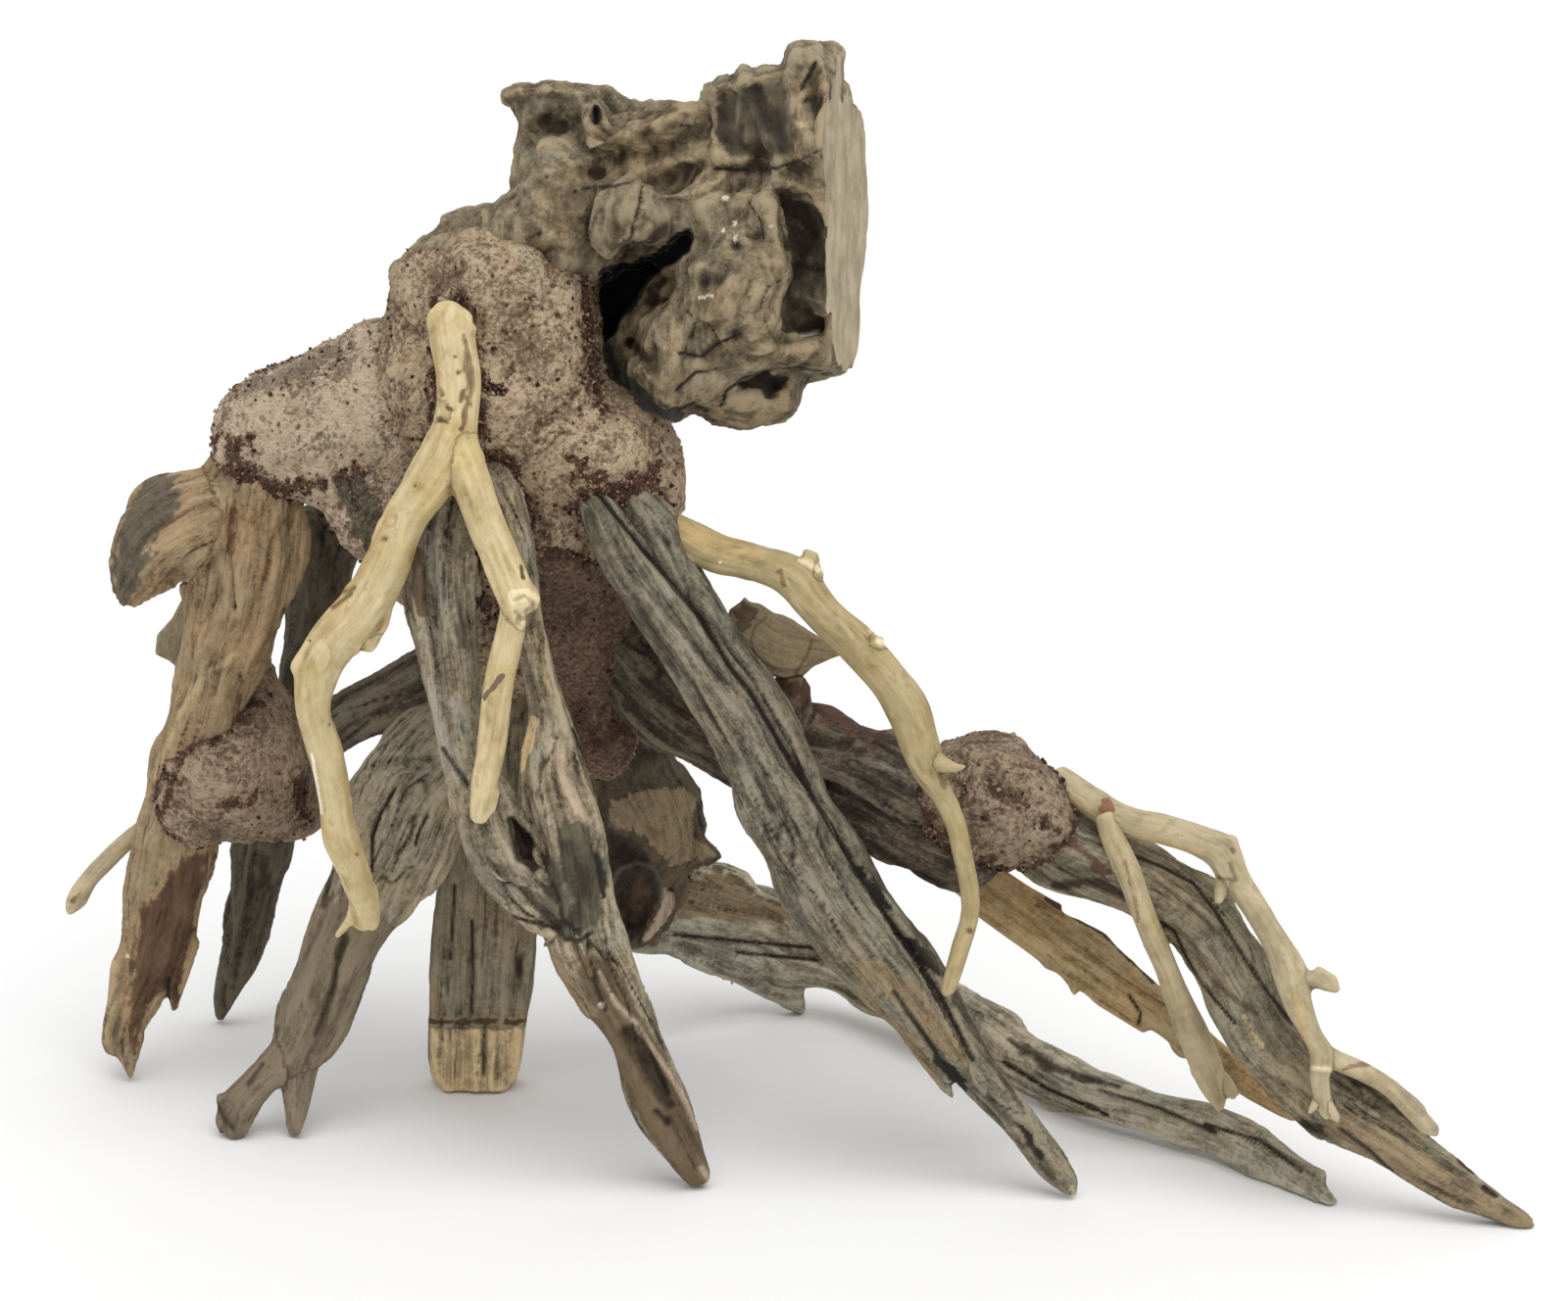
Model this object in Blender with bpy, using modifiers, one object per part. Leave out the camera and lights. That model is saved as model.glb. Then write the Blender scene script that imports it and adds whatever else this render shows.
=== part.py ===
"""Aquarium driftwood: weathered roots, a sawn burl and peeled twigs, glued together with sawdust mortar.

The pieces are laid out on a sloping elevation of the arrangement, as an eye one metre away sees it. A spot
on that drawing has three numbers in millimetres: right and up on the sheet, and away, the depth behind the
sheet's middle measured along the floor. The function seen turns them into a place in the world.
"""

from math import atan2, ceil, cos, radians, sin

import bmesh
import bpy
import numpy as np
from mathutils import Matrix, Vector, noise

# The elevation: its slope, the distance of the eye and where its middle lies, in millimetres
MM = 0.001
VIEW_SLOPE = radians(16.0)
VIEW_DISTANCE = 1000.0
SHEET_MIDDLE_UP = 150.0
SHEET_MIDDLE_HEIGHT = 130.0

# The middle of the object's outline on the floor, measured on the elevation's axes
MIDDLE_X = -2.75
MIDDLE_Y = 9.65

# Clearance between glued pieces, the spacing of the sections along a limb, and its number of sides.
# A stretch that is over the spacing by no more than the slack isn't divided again.
GLUE_GAP = 0.35
SECTION_STEP = 11.0
SECTION_SLACK = 0.3
ROOT_SIDES = 10
TWIG_SIDES = 7

# Roughness of a limb: how far its sides stray from an even oval, as a share of its radius,
# how fast that changes round it and along it, and what sets each limb's pattern apart
ROOT_ROUGH = 0.16
SPLIT_ROUGH = 0.07
TWIG_ROUGH = 0.05
WANDER_ROUND = 1.3
WANDER_ALONG = 0.55
PIECE_SEED = 7.3
BRANCH_SEED = 2.9

# Squareness of a cross-section: 2 is an oval, more is a plank
ROUND = 2.0
SPLIT = 3.2

# Lumps: the grid they are fused on, the rounds of smoothing, the face budgets, the height of their bumps,
# and the width of the broad and the small bumps
FUSE_GRID = 2.0
SMOOTH_ROUNDS = 6
BURL_FACES = 1800
CORE_FACES = 1000
LUMP_FACES = 360
BURL_BUMPS = 1.6
MORTAR_BUMPS = 0.8
BROAD_BUMP = 14.0
SMALL_BUMP = 6.0
LUMP_SEED = 3.0

# The burl's sawn end: a spot on it, and how far it turns from square to face the eye a little
SAWN_SPOT_X = 16.1
SAWN_TURN = radians(11.4)

# Edges sharper than this are shaded as creases
CREASE = radians(40.0)

ACROSS = Vector((1.0, 0.0, 0.0))
UPWARD = Vector((0.0, sin(VIEW_SLOPE), cos(VIEW_SLOPE)))
INWARD = Vector((0.0, cos(VIEW_SLOPE), -sin(VIEW_SLOPE)))


# The elevation

def seen(right, up, away):
    """The world place of a spot on the elevation, and the scale of the drawing there."""
    rise = up - SHEET_MIDDLE_UP
    deep = (away - rise * UPWARD.y) / (INWARD.y + rise * UPWARD.y / VIEW_DISTANCE)
    scale = 1.0 + deep / VIEW_DISTANCE
    height = SHEET_MIDDLE_HEIGHT + rise * scale * UPWARD.z + deep * INWARD.z
    return Vector((right * scale - MIDDLE_X, away - MIDDLE_Y, height)), scale


def blend(before, start, end, after, share):
    """A smooth curve from start to end that also heads from before and towards after."""
    square = share * share
    cube = square * share
    return tuple(
        b + 0.5 * ((c - a) * share + (2 * a - 5 * b + 4 * c - d) * square + (3 * b - a - 3 * c + d) * cube)
        for a, b, c, d in zip(before, start, end, after)
    )


def sections_along(stations):
    """Stations of a limb, closed up to the section step by smooth curves."""
    padded = [stations[0]] + list(stations) + [stations[-1]]
    filled = []
    for before, start, end, after in zip(padded, padded[1:], padded[2:], padded[3:]):
        length = (Vector(end[:3]) - Vector(start[:3])).length
        steps = max(1, ceil(length / SECTION_STEP - SECTION_SLACK))
        filled += [blend(before, start, end, after, step / steps) for step in range(steps)]
    return filled + [stations[-1]]


# Building blocks

def squared(value, squareness):
    """One coordinate of a rounded outline between an oval and a box."""
    return (1 if value >= 0 else -1) * abs(value) ** (2.0 / squareness)


def add_limb(bm, stations, sides, rough, seed, squareness=ROUND):
    """A closed limb through stations of (right, up, away, half width, half depth)."""
    sections = sections_along(stations)
    spots = [seen(*section[:3]) for section in sections]
    before = set(bm.verts)
    ring = bmesh.ops.create_circle(bm, segments=sides, radius=1.0)
    rim = list({edge for vert in ring["verts"] for edge in vert.link_edges})
    steps = len(sections) - 1
    bmesh.ops.spin(bm, geom=rim, axis=(0, 0, 1), cent=(0, 0, 0), dvec=(0, 0, 1), angle=0.0, steps=steps)
    blank = [vert for vert in bm.verts if vert not in before]
    open_rims = [edge for vert in blank for edge in vert.link_edges if edge.is_boundary]
    bmesh.ops.holes_fill(bm, edges=list(set(open_rims)), sides=0)
    for vert in blank:
        index = round(vert.co.z)
        angle = atan2(vert.co.y, vert.co.x)
        place, scale = spots[index]
        heading = spots[min(index + 1, len(spots) - 1)][0] - spots[max(index - 1, 0)][0]
        sideways = heading.cross(INWARD).normalized()
        depthward = heading.cross(sideways).normalized()
        half_width, half_depth = sections[index][3:5]
        spin = Vector((cos(angle), sin(angle), 0)) * WANDER_ROUND
        wander = noise.noise(spin + Vector((seed, 0, WANDER_ALONG * index)))
        reach = scale * (1.0 + rough * 2.0 * wander)
        offset = sideways * (half_width * squared(cos(angle), squareness))
        offset += depthward * (half_depth * squared(sin(angle), squareness))
        vert.co = (place + offset * reach) * MM


def add_blob(bm, spot, radii):
    """An egg at a spot of the elevation, with its radii across, upward and inward."""
    place, scale = seen(*spot)
    axes = Matrix((ACROSS * radii[0], UPWARD * radii[1], INWARD * radii[2])).transposed()
    matrix = Matrix.Translation(place * MM) @ (axes * scale * MM).to_4x4()
    bmesh.ops.create_icosphere(bm, subdivisions=3, radius=1.0, matrix=matrix)


def close_cut(bm, spot, normal):
    """Cut away what lies behind a plane and close the cut with a flat face."""
    everything = bm.verts[:] + bm.edges[:] + bm.faces[:]
    bmesh.ops.bisect_plane(bm, geom=everything, dist=1e-7, plane_co=spot, plane_no=normal, clear_inner=True)
    rim = [edge for edge in bm.edges if edge.is_boundary]
    if rim:
        bmesh.ops.triangle_fill(bm, edges=rim, use_beauty=True)
    bmesh.ops.recalc_face_normals(bm, faces=bm.faces[:])


def loose_bodies(bm):
    """The connected bodies of a mesh, as lists of vertices."""
    left = set(bm.verts)
    bodies = []
    while left:
        body = [left.pop()]
        for vert in body:
            near = {edge.other_vert(vert) for edge in vert.link_edges} & left
            left -= near
            body += near
        bodies.append(body)
    return bodies


# Objects

def make_object(name, bm, collection):
    """A mesh object of triangles in a collection, from a bmesh that is freed."""
    bmesh.ops.triangulate(bm, faces=bm.faces[:])
    bmesh.ops.recalc_face_normals(bm, faces=bm.faces[:])
    if bm.calc_volume(signed=True) < 0.0:
        bmesh.ops.reverse_faces(bm, faces=bm.faces[:])
    mesh = bpy.data.meshes.new(name)
    bm.to_mesh(mesh)
    bm.free()
    made = bpy.data.objects.new(name, mesh)
    collection.objects.link(made)
    return made


def apply_modifiers(thing):
    """Replace an object's mesh with the shape that its modifiers give."""
    shape = bpy.data.meshes.new_from_object(thing.evaluated_get(bpy.context.evaluated_depsgraph_get()))
    thing.modifiers.clear()
    plain = thing.data
    thing.data = shape
    bpy.data.meshes.remove(plain)


def edit_mesh(thing, change):
    """Run a change on an object's mesh."""
    bm = bmesh.new()
    bm.from_mesh(thing.data)
    change(bm)
    bm.to_mesh(thing.data)
    bm.free()


def keep_largest(bm):
    """Drop the loose scraps that a cut leaves."""
    for scrap in sorted(loose_bodies(bm), key=len)[:-1]:
        bmesh.ops.delete(bm, geom=scrap, context="VERTS")


def join(thing, other, operation):
    """Boolean of an object with another one."""
    step = thing.modifiers.new("boolean", "BOOLEAN")
    step.operation = operation
    step.object = other
    apply_modifiers(thing)


def discard(thing):
    """Remove an object with its mesh."""
    mesh = thing.data
    bpy.data.objects.remove(thing)
    bpy.data.meshes.remove(mesh)


def swollen_copy(thing, collection):
    """A cutter: the object's shape, larger by the glue gap all round."""
    cutter = thing.copy()
    cutter.data = thing.data.copy()
    cutter.name = thing.name + "_clearance"
    collection.objects.link(cutter)
    swell = cutter.modifiers.new("swell", "DISPLACE")
    swell.strength = GLUE_GAP * MM
    swell.mid_level = 0.0
    apply_modifiers(cutter)
    cutter.display_type = "WIRE"
    cutter.hide_render = True
    return cutter


def boxes_meet(one, other):
    """Whether the boxes round two objects touch."""
    spans = [np.array([vert.co[:] for vert in thing.data.vertices]) for thing in (one, other)]
    low = np.maximum(spans[0].min(0), spans[1].min(0))
    high = np.minimum(spans[0].max(0), spans[1].max(0))
    return bool((low < high).all())


def add_melt(thing):
    """Fuse the overlapping blobs of an object into one skin."""
    melt = thing.modifiers.new("melt", "REMESH")
    melt.mode = "VOXEL"
    melt.voxel_size = FUSE_GRID * MM


def fuse_lump(thing, faces, bumps, seed):
    """Melt the blobs of an object into one bumpy lump of about the given number of faces."""
    add_melt(thing)
    soften = thing.modifiers.new("soften", "SMOOTH")
    soften.iterations = SMOOTH_ROUNDS
    apply_modifiers(thing)

    def roughen(bm):
        bm.normal_update()
        for vert in bm.verts:
            spot = vert.co / MM
            broad = noise.noise(spot / BROAD_BUMP + Vector((seed, 0, 0)))
            small = noise.noise(spot / SMALL_BUMP)
            vert.co += vert.normal * ((broad + 0.5 * small) * bumps * MM)

    edit_mesh(thing, roughen)
    thin = thing.modifiers.new("thin", "DECIMATE")
    thin.ratio = faces / (2.0 * len(thing.data.polygons))
    apply_modifiers(thing)


# The pieces of wood: each limb's stations are (right, up, away, half width, half depth)

LIMBS = {
    "fork_twig": (
        [
            (-86.2, 239.0, -27.5, 2.0, 2.0), (-85.8, 236.5, -28.5, 4.6, 4.4), (-84.8, 230, -30.5, 5.8, 5.4),
            (-83.3, 220, -32.5, 5.8, 5.4), (-83.2, 210, -34.5, 5.6, 5.4), (-85.8, 201, -36.5, 6.6, 5.8),
            (-91, 192, -38.5, 6.2, 5.6), (-97, 183.5, -38.5, 5.6, 5.4), (-101.5, 172, -38.5, 5.9, 5.5),
            (-107.5, 161, -37.5, 6.6, 5.8), (-115, 152, -36.5, 6.6, 5.6), (-119.3, 143, -35.5, 5.6, 5.2),
            (-119.8, 134, -34.5, 4.7, 4.6), (-116.7, 123, -32.5, 4.5, 4.3), (-114.6, 112, -29.5, 4.2, 4.1),
            (-113.2, 102.5, -26.5, 4.6, 4.3), (-109.3, 92.5, -22.5, 3.9, 3.8),
            (-106.6, 84, -19.5, 3.4, 3.3),
            (-105.5, 79, -17.5, 2.4, 2.4),
        ],
        [
            (-87, 200, -37.5, 5.0, 5.0), (-83, 193, -39.5, 5.2, 5.0), (-77.5, 185, -41.5, 5.0, 4.9),
            (-72.5, 174.5, -43.5, 5.0, 4.9), (-68.5, 165, -46, 5.3, 5.2), (-66.6, 160, -48.5, 5.2, 5.2),
        ],
        [
            (-68.5, 163, -47.5, 3.6, 3.6), (-70, 153.5, -48.5, 4.0, 3.8), (-72.8, 141, -48.5, 4.0, 3.8),
            (-74.6, 127, -48.5, 3.7, 3.6), (-76.6, 113.5, -49.5, 3.3, 3.2), (-78, 106, -49.5, 2.2, 2.2),
        ],
        [(-110, 157, -36.5, 4.0, 3.6), (-106.4, 152.5, -36.5, 3.6, 2.6), (-105, 149.5, -36.5, 1.6, 1.4)],
    ),
    "arch_twig": (
        [
            (-37, 186, -20, 4.0, 4.2), (-27.5, 180.3, -25, 4.6, 4.8), (-18.3, 175.4, -30, 5.0, 4.8),
            (-6.3, 172, -34, 4.8, 4.7), (2.2, 168.3, -37, 5.4, 5.0), (9, 160.5, -39, 4.9, 4.8),
            (18.5, 151.5, -41, 5.3, 5.0), (25.8, 143.5, -43, 5.0, 4.9), (31.3, 135.5, -45, 5.6, 5.2),
            (34.4, 127, -47, 5.3, 5.0), (36.8, 119.5, -48, 4.3, 4.2), (40.7, 112.7, -49, 3.0, 3.0),
            (43.8, 106, -50, 2.7, 2.7), (45.5, 98.5, -50, 2.7, 2.7), (47.2, 90, -51, 2.7, 2.7),
            (47.4, 82, -51, 2.5, 2.5), (45, 74, -52, 2.5, 2.5), (42.6, 66.3, -53, 2.3, 2.3),
            (41.3, 61.8, -53, 2.0, 2.0),
        ],
        [
            (36, 124, -47, 2.4, 2.4), (40.4, 121, -51, 2.1, 2.1), (44.6, 120, -53, 1.3, 1.3),
            (46.6, 120.6, -54, 0.6, 0.6),
        ],
        [(5, 167, -38, 3.4, 3.4), (9.2, 169.3, -38, 1.4, 1.4)],
        [(22, 151, -42, 3.6, 3.6), (26, 152.2, -42, 1.8, 1.8)],
    ),
    "claw_twig": (
        [
            (69, 118.5, -27, 2.8, 2.8), (73.3, 115.5, -30, 3.3, 3.2), (81, 110.8, -34, 3.0, 2.9),
            (88, 108, -38, 2.8, 2.8), (96.5, 105.2, -42, 3.0, 2.9), (105.5, 101.8, -46, 3.0, 2.9),
            (111.5, 98.5, -49, 3.6, 3.3), (115, 92, -50, 3.1, 3.0), (120, 84.6, -52, 3.0, 2.9),
            (125.8, 74.8, -54, 3.3, 3.1), (129.3, 67.5, -56, 4.0, 3.5), (131.3, 59.8, -59, 3.2, 3.1),
            (134.6, 52.3, -62, 2.8, 2.8), (137.2, 47, -63, 3.1, 3.0), (136.6, 41, -64, 2.6, 2.6),
            (137.3, 36, -64, 2.5, 2.4), (138.2, 32, -64.5, 1.7, 1.7), (138.6, 30, -65, 0.8, 0.8),
        ],
        [(130, 68, -56, 2.4, 2.4), (136, 65.5, -58, 1.9, 1.9), (140.5, 64, -59, 1.8, 1.8)],
        [
            (136.5, 48, -62, 2.6, 2.6), (141, 45.6, -62, 2.7, 2.7), (147.5, 42.8, -62, 2.7, 2.6),
            (154.5, 38.5, -61, 2.5, 2.4), (160, 33, -61, 2.2, 2.1), (164.5, 29, -61, 2.0, 2.0),
            (166.5, 26.6, -61, 1.4, 1.4),
        ],
        [(137, 37, -64, 1.8, 1.8), (140, 32, -65, 1.5, 1.5), (142, 29.5, -65.5, 0.9, 0.9)],
        [(137, 36.5, -64, 1.6, 1.6), (134.6, 33, -65, 1.0, 1.0), (133, 31, -65, 0.6, 0.6)],
        [(112.6, 97, -49, 2.2, 2.2), (111.6, 90, -51, 1.9, 1.9), (110.8, 85, -52, 1.3, 1.3)],
    ),
    "hanging_twig": (
        [
            (83.4, 108.5, -37, 2.3, 2.3), (85.4, 101.8, -40, 2.5, 2.5), (88.7, 92.8, -45, 2.6, 2.6),
            (91.3, 84.8, -46, 2.7, 2.6), (94.5, 76, -45, 2.7, 2.6), (98, 67, -43, 2.6, 2.5),
            (101.8, 57.3, -40, 2.9, 2.7), (105, 49.8, -37, 3.5, 3.0), (108.7, 42.3, -34, 3.4, 2.9),
            (111.5, 36.3, -31, 2.2, 2.1), (113, 32, -29, 1.1, 1.1),
        ],
        [(108.5, 44, -34, 2.2, 2.2), (113, 39, -33, 2.2, 2.1), (115.6, 35.7, -32, 1.3, 1.3)],
    ),
    "left_twig": (
        [
            (-151, 112, 33, 2.2, 2.2), (-158, 108.3, 32, 2.3, 2.3), (-164.5, 103.8, 30, 2.4, 2.4),
            (-171, 98.3, 28, 2.5, 2.5), (-177, 91.8, 26, 2.4, 2.4), (-180.5, 87.2, 25, 2.2, 2.2),
            (-182.8, 84.2, 24, 1.2, 1.2),
        ],
    ),
    "long_leg": (
        [
            (-52, 193, -27, 4.5, 4.5), (-47, 185, -31, 6.0, 5.5), (-41, 173.5, -35, 6.6, 6.0),
            (-33, 161, -37, 7.0, 6.2),
            (-25, 150, -38, 7.0, 6.2), (-17.5, 138.5, -39, 7.3, 6.4), (-9.5, 125, -40, 7.7, 6.6),
            (0, 106, -41, 9.2, 7.4), (8.3, 91, -42, 9.7, 7.8), (15.5, 80, -43, 9.6, 7.6),
            (24.3, 69, -44, 9.0, 7.0), (31.3, 60, -45, 7.9, 6.2), (38.3, 50.5, -46, 6.3, 5.0),
            (43, 43.8, -47, 4.6, 3.6), (46.4, 39.3, -48, 1.5, 1.5),
        ],
        [
            (-42, 194, -22, 5.0, 5.0), (-32, 180, -27, 6.4, 6.0), (-24.5, 163.5, -30, 6.0, 6.6),
            (-16, 150.5, -31, 6.0, 6.8),
            (-7.8, 139, -32, 6.0, 7.0), (3.5, 117, -34, 6.0, 7.4), (11, 103.5, -35, 6.0, 7.6),
            (18.3, 91, -36, 6.0, 7.6), (25.8, 80, -38, 6.2, 7.4), (33, 70.5, -39, 6.4, 7.2),
            (39.5, 60.5, -41, 6.6, 7.0), (46.3, 48.5, -43, 7.2, 7.0), (52.5, 38.5, -44, 7.4, 6.6),
            (58.3, 31, -45, 7.0, 5.8), (63.8, 23.5, -46, 5.6, 4.8), (69.3, 16.8, -48, 4.2, 3.6),
            (73.2, 12.2, -49, 2.6, 2.2), (74.6, 10.4, -49.3, 1.2, 1.2),
        ],
        [(34, 51, -46, 3.4, 3.0), (40, 41, -47, 2.0, 1.8), (43.8, 34.3, -48, 0.7, 0.7)],
    ),
    "front_leg": (
        [
            (-80, 199, -24, 6.0, 4.5), (-77.5, 191, -27, 7.5, 5.5), (-73.5, 178, -31, 8.8, 6.0),
            (-70, 162, -34, 7.2, 5.6),
            (-66.2, 144, -36, 6.5, 5.6), (-62, 131, -37, 8.2, 6.2), (-57.6, 116, -39, 9.6, 6.8),
            (-54, 101, -40, 8.8, 7.0), (-52.3, 87, -42, 9.0, 7.2), (-50.6, 75.5, -44, 10.2, 7.4),
            (-45.8, 65, -45, 8.8, 6.6), (-39.8, 53.5, -45, 6.8, 5.6), (-35, 42, -44, 6.3, 5.2),
            (-30.3, 31, -43, 7.2, 5.4), (-25.6, 21.5, -42, 5.8, 4.6), (-22.3, 15.4, -41.5, 3.4, 3.0),
            (-21.2, 13, -41.5, 1.4, 1.4),
        ],
        [
            (-84, 200, -24, 6.0, 4.5), (-86, 190, -28, 9.0, 5.0), (-87.8, 178, -31, 10.0, 5.2),
            (-88, 165, -32, 10.4, 5.2),
            (-86, 153, -33, 8.6, 5.0), (-84.2, 140, -34, 7.3, 4.8), (-82.5, 127, -35, 6.2, 4.8),
            (-79.5, 118, -37, 6.4, 5.4), (-75.5, 108, -39, 7.8, 6.4), (-71.5, 97.5, -41, 8.8, 7.0),
            (-64, 88, -42, 8.8, 7.0), (-56, 81, -43, 7.0, 6.4),
        ],
    ),
    "brown_leg": (
        [
            (-134, 199, -3, 10.5, 8.0), (-137, 187, -3, 14.4, 9.0), (-138.3, 173.5, -2, 14.0, 8.6),
            (-140, 161, 1, 12.8, 8.4), (-144.6, 146.5, 5, 9.8, 8.0), (-148.6, 131, 9, 9.4, 7.6),
            (-152, 116, 13, 9.8, 7.4), (-155.6, 101, 18, 10.2, 7.2), (-158, 89.5, 21, 10.5, 6.8),
            (-161, 76, 25, 9.6, 6.0), (-164.4, 63.5, 28, 7.4, 4.8), (-168, 54, 30, 5.0, 3.6),
            (-168.6, 49.6, 30, 4.6, 3.0), (-167, 45, 30, 2.8, 2.2), (-166.6, 40, 30.5, 1.0, 1.0),
        ],
        [
            (-138, 187, -4, 10.0, 8.0), (-149.5, 183.5, -4, 12.0, 9.0), (-156.5, 180, -4, 12.8, 9.4),
            (-161.6, 175.5, -4, 11.0, 8.4), (-165, 169, -4, 7.4, 6.4), (-167.4, 164, -4, 3.8, 3.4),
            (-168, 160.6, -4, 1.4, 1.4),
        ],
        [(-151.5, 77, 24, 3.4, 3.0), (-154.8, 64.5, 27, 2.1, 1.9), (-155.7, 57.6, 28, 0.8, 0.8)],
    ),
    "grey_leg_left": (
        [
            (-78, 130, 8, 9.0, 7.0), (-86.5, 125, 7, 13.0, 8.6), (-95.5, 114, 5, 16.0, 9.6),
            (-101, 101, 3, 15.6, 9.6),
            (-105.8, 90, 1, 12.0, 8.6), (-111, 78.5, -1, 9.8, 7.4), (-116, 66, -3, 9.0, 6.8),
            (-120.5, 55, -5, 8.6, 6.2), (-124, 47.5, -6, 6.6, 5.0), (-126, 43, -6, 3.0, 3.0),
        ],
        [
            (-123, 52, -5, 5.0, 4.6), (-129.5, 44.5, -7, 4.7, 4.4), (-135, 38.6, -8, 4.3, 4.2),
            (-139.2, 33.5, -8, 5.2, 4.6), (-140.5, 28.5, -8.6, 4.6, 4.0), (-140.8, 25.3, -9, 2.6, 2.6),
        ],
        [
            (-122, 50, -5, 4.4, 4.0), (-123.8, 37, -8, 3.3, 3.0), (-124.7, 28.5, -9, 2.0, 2.0),
            (-124.8, 25, -9.3, 1.0, 1.0),
        ],
        [(-111, 66, 0, 4.0, 3.6), (-113.5, 54, -2, 2.8, 2.4), (-116, 47, -3, 0.8, 0.8)],
    ),
    "back_left_leg": (
        [
            (-115, 184, 26, 7.5, 7.0), (-117.8, 170, 35, 7.8, 6.6), (-119, 155, 43, 7.8, 6.4),
            (-122, 142, 49, 7.0, 6.0),
            (-127.5, 121, 58, 7.0, 5.8), (-133, 101, 64, 7.4, 5.6), (-135.3, 87, 68, 6.7, 5.0),
            (-138.5, 73, 70, 5.2, 4.0), (-142.4, 62, 71.5, 2.8, 2.4), (-144.2, 54.7, 72.5, 1.0, 1.0),
        ],
    ),
    "cross_branch": (
        [
            (-128, 119, 34, 5.5, 5.5), (-120, 126, 30, 6.4, 6.0), (-109, 133.5, 25, 7.0, 6.4),
            (-97, 139, 20, 7.6, 6.8), (-86, 144.5, 17, 8.0, 7.0), (-77, 149, 15, 7.0, 6.4),
        ],
    ),
    "right_arm": (
        [
            (-50, 163, 4, 11.0, 10.0), (-38, 147, 0, 13.0, 11.0), (-25, 134.8, -6, 13.4, 11.4),
            (-10, 128, -12, 12.8, 11.6),
            (7.5, 122, -18, 13.6, 12.0), (22.5, 116, -22, 14.4, 12.4), (36, 108.8, -25, 15.0, 12.4),
            (48, 103, -27, 14.0, 11.6), (57, 101, -28, 8.0, 8.0),
        ],
        [
            (-1, 124, -20, 8.0, 7.0), (1.0, 136, -21, 6.0, 5.4), (2.0, 142.5, -22, 4.6, 4.2),
            (2.2, 145, -22, 3.2, 3.0),
        ],
    ),
    "far_right_leg": (
        [
            (60, 105, -30, 9.5, 8.5), (71, 100, -31, 11.3, 9.2), (83, 95, -33, 10.5, 8.8),
            (95, 89.5, -36, 10.4, 8.4),
            (107, 80, -40, 9.9, 8.0), (114.6, 68.5, -44, 9.0, 7.6), (121, 55.5, -48, 8.7, 7.2),
            (130, 43.6, -52, 9.0, 6.8), (141, 34, -55, 8.5, 6.2), (153.5, 25.8, -58, 7.0, 5.2),
            (166, 17.6, -61, 5.2, 4.2), (181, 9.4, -64, 3.6, 3.0), (189.3, 4.2, -65, 2.0, 1.8),
            (191, 3.0, -65, 1.0, 1.0),
        ],
    ),
    "tan_plank": (
        [
            (37, 98, -16, 3.6, 3.4), (47, 91, -15, 4.6, 3.6), (60, 82, -15, 6.6, 3.8),
            (72.5, 73.5, -16, 7.3, 3.8),
            (85, 65.3, -18, 7.0, 3.6), (97.5, 56.3, -20, 5.6, 3.4), (108, 48.2, -21, 4.7, 3.2),
            (117, 41, -22, 4.4, 3.0), (126, 34.3, -24, 3.0, 2.4), (131.5, 30, -25, 1.4, 1.4),
        ],
        [(56, 93.5, -19, 1.6, 1.4), (64, 88.5, -19, 2.2, 1.6), (73, 82.3, -19, 0.9, 0.9)],
    ),
    "low_root": (
        [
            (-35, 80, 62, 5.0, 3.6), (-27, 83, 67, 10.0, 4.4), (-17.5, 82, 73, 14.0, 5.0),
            (-6, 77, 78, 14.0, 5.2),
            (3.5, 71.5, 80, 12.6, 5.2), (9, 71, 79, 8.6, 5.0), (14, 69.5, 76, 7.0, 5.0),
            (25, 64.6, 66, 7.6, 5.4),
            (37.5, 60, 52, 8.0, 6.0),
            (50, 53.6, 36, 8.2, 6.2), (62, 45.4, 19, 8.0, 6.0), (75, 38.7, 4, 7.0, 5.6),
            (90, 33.8, -8, 5.6, 5.2),
            (105, 29, -18, 6.0, 5.2), (118, 23.6, -29, 6.8, 5.2), (130, 17.6, -41, 6.2, 4.6),
            (137.5, 12.4, -49, 4.0, 3.4),
            (142.8, 8.2, -54, 1.2, 1.2),
        ],
    ),
    "heart_chunk": (
        [
            (-41, 128, 18, 8.0, 7.0), (-38.5, 121, 22, 10.5, 8.5), (-34, 111, 29, 12.6, 9.0),
            (-30.5, 102, 36, 11.6, 8.6),
            (-31.6, 94, 43, 9.8, 8.0), (-33.6, 85, 49, 8.6, 7.0), (-33.3, 78, 54, 5.4, 5.0),
        ],
        [(-28, 112, 31, 6.0, 4.0), (-20.5, 109.5, 33, 3.0, 2.4), (-19.4, 104, 34, 2.0, 1.8)],
    ),
    "back_plank": (
        [
            (-74.6, 142, 17, 9.5, 6.0), (-75, 134, 17, 11.2, 6.6), (-75.4, 115, 18, 12.0, 7.0),
            (-75.9, 96, 20, 12.3, 7.0),
            (-76.8, 76, 22, 12.5, 7.0), (-77.8, 61, 23.5, 12.1, 6.8), (-78.5, 47, 25, 10.8, 6.2),
            (-78.7, 35, 26.5, 10.0, 6.0),
        ],
    ),
    "flake_chip": (
        [
            (-13, 160.6, -24, 2.6, 1.2), (-6.3, 156, -24, 5.8, 1.8), (1.3, 151.8, -24, 7.8, 2.0),
            (8.6, 149.6, -24, 4.8, 1.6), (15.6, 149, -24, 1.0, 0.7),
        ],
    ),
    "pale_chip_left": (
        [
            (-152.6, 166, 9, 1.0, 0.8), (-154.6, 158, 10, 3.8, 1.2), (-155.8, 150.4, 11, 4.2, 1.2),
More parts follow.
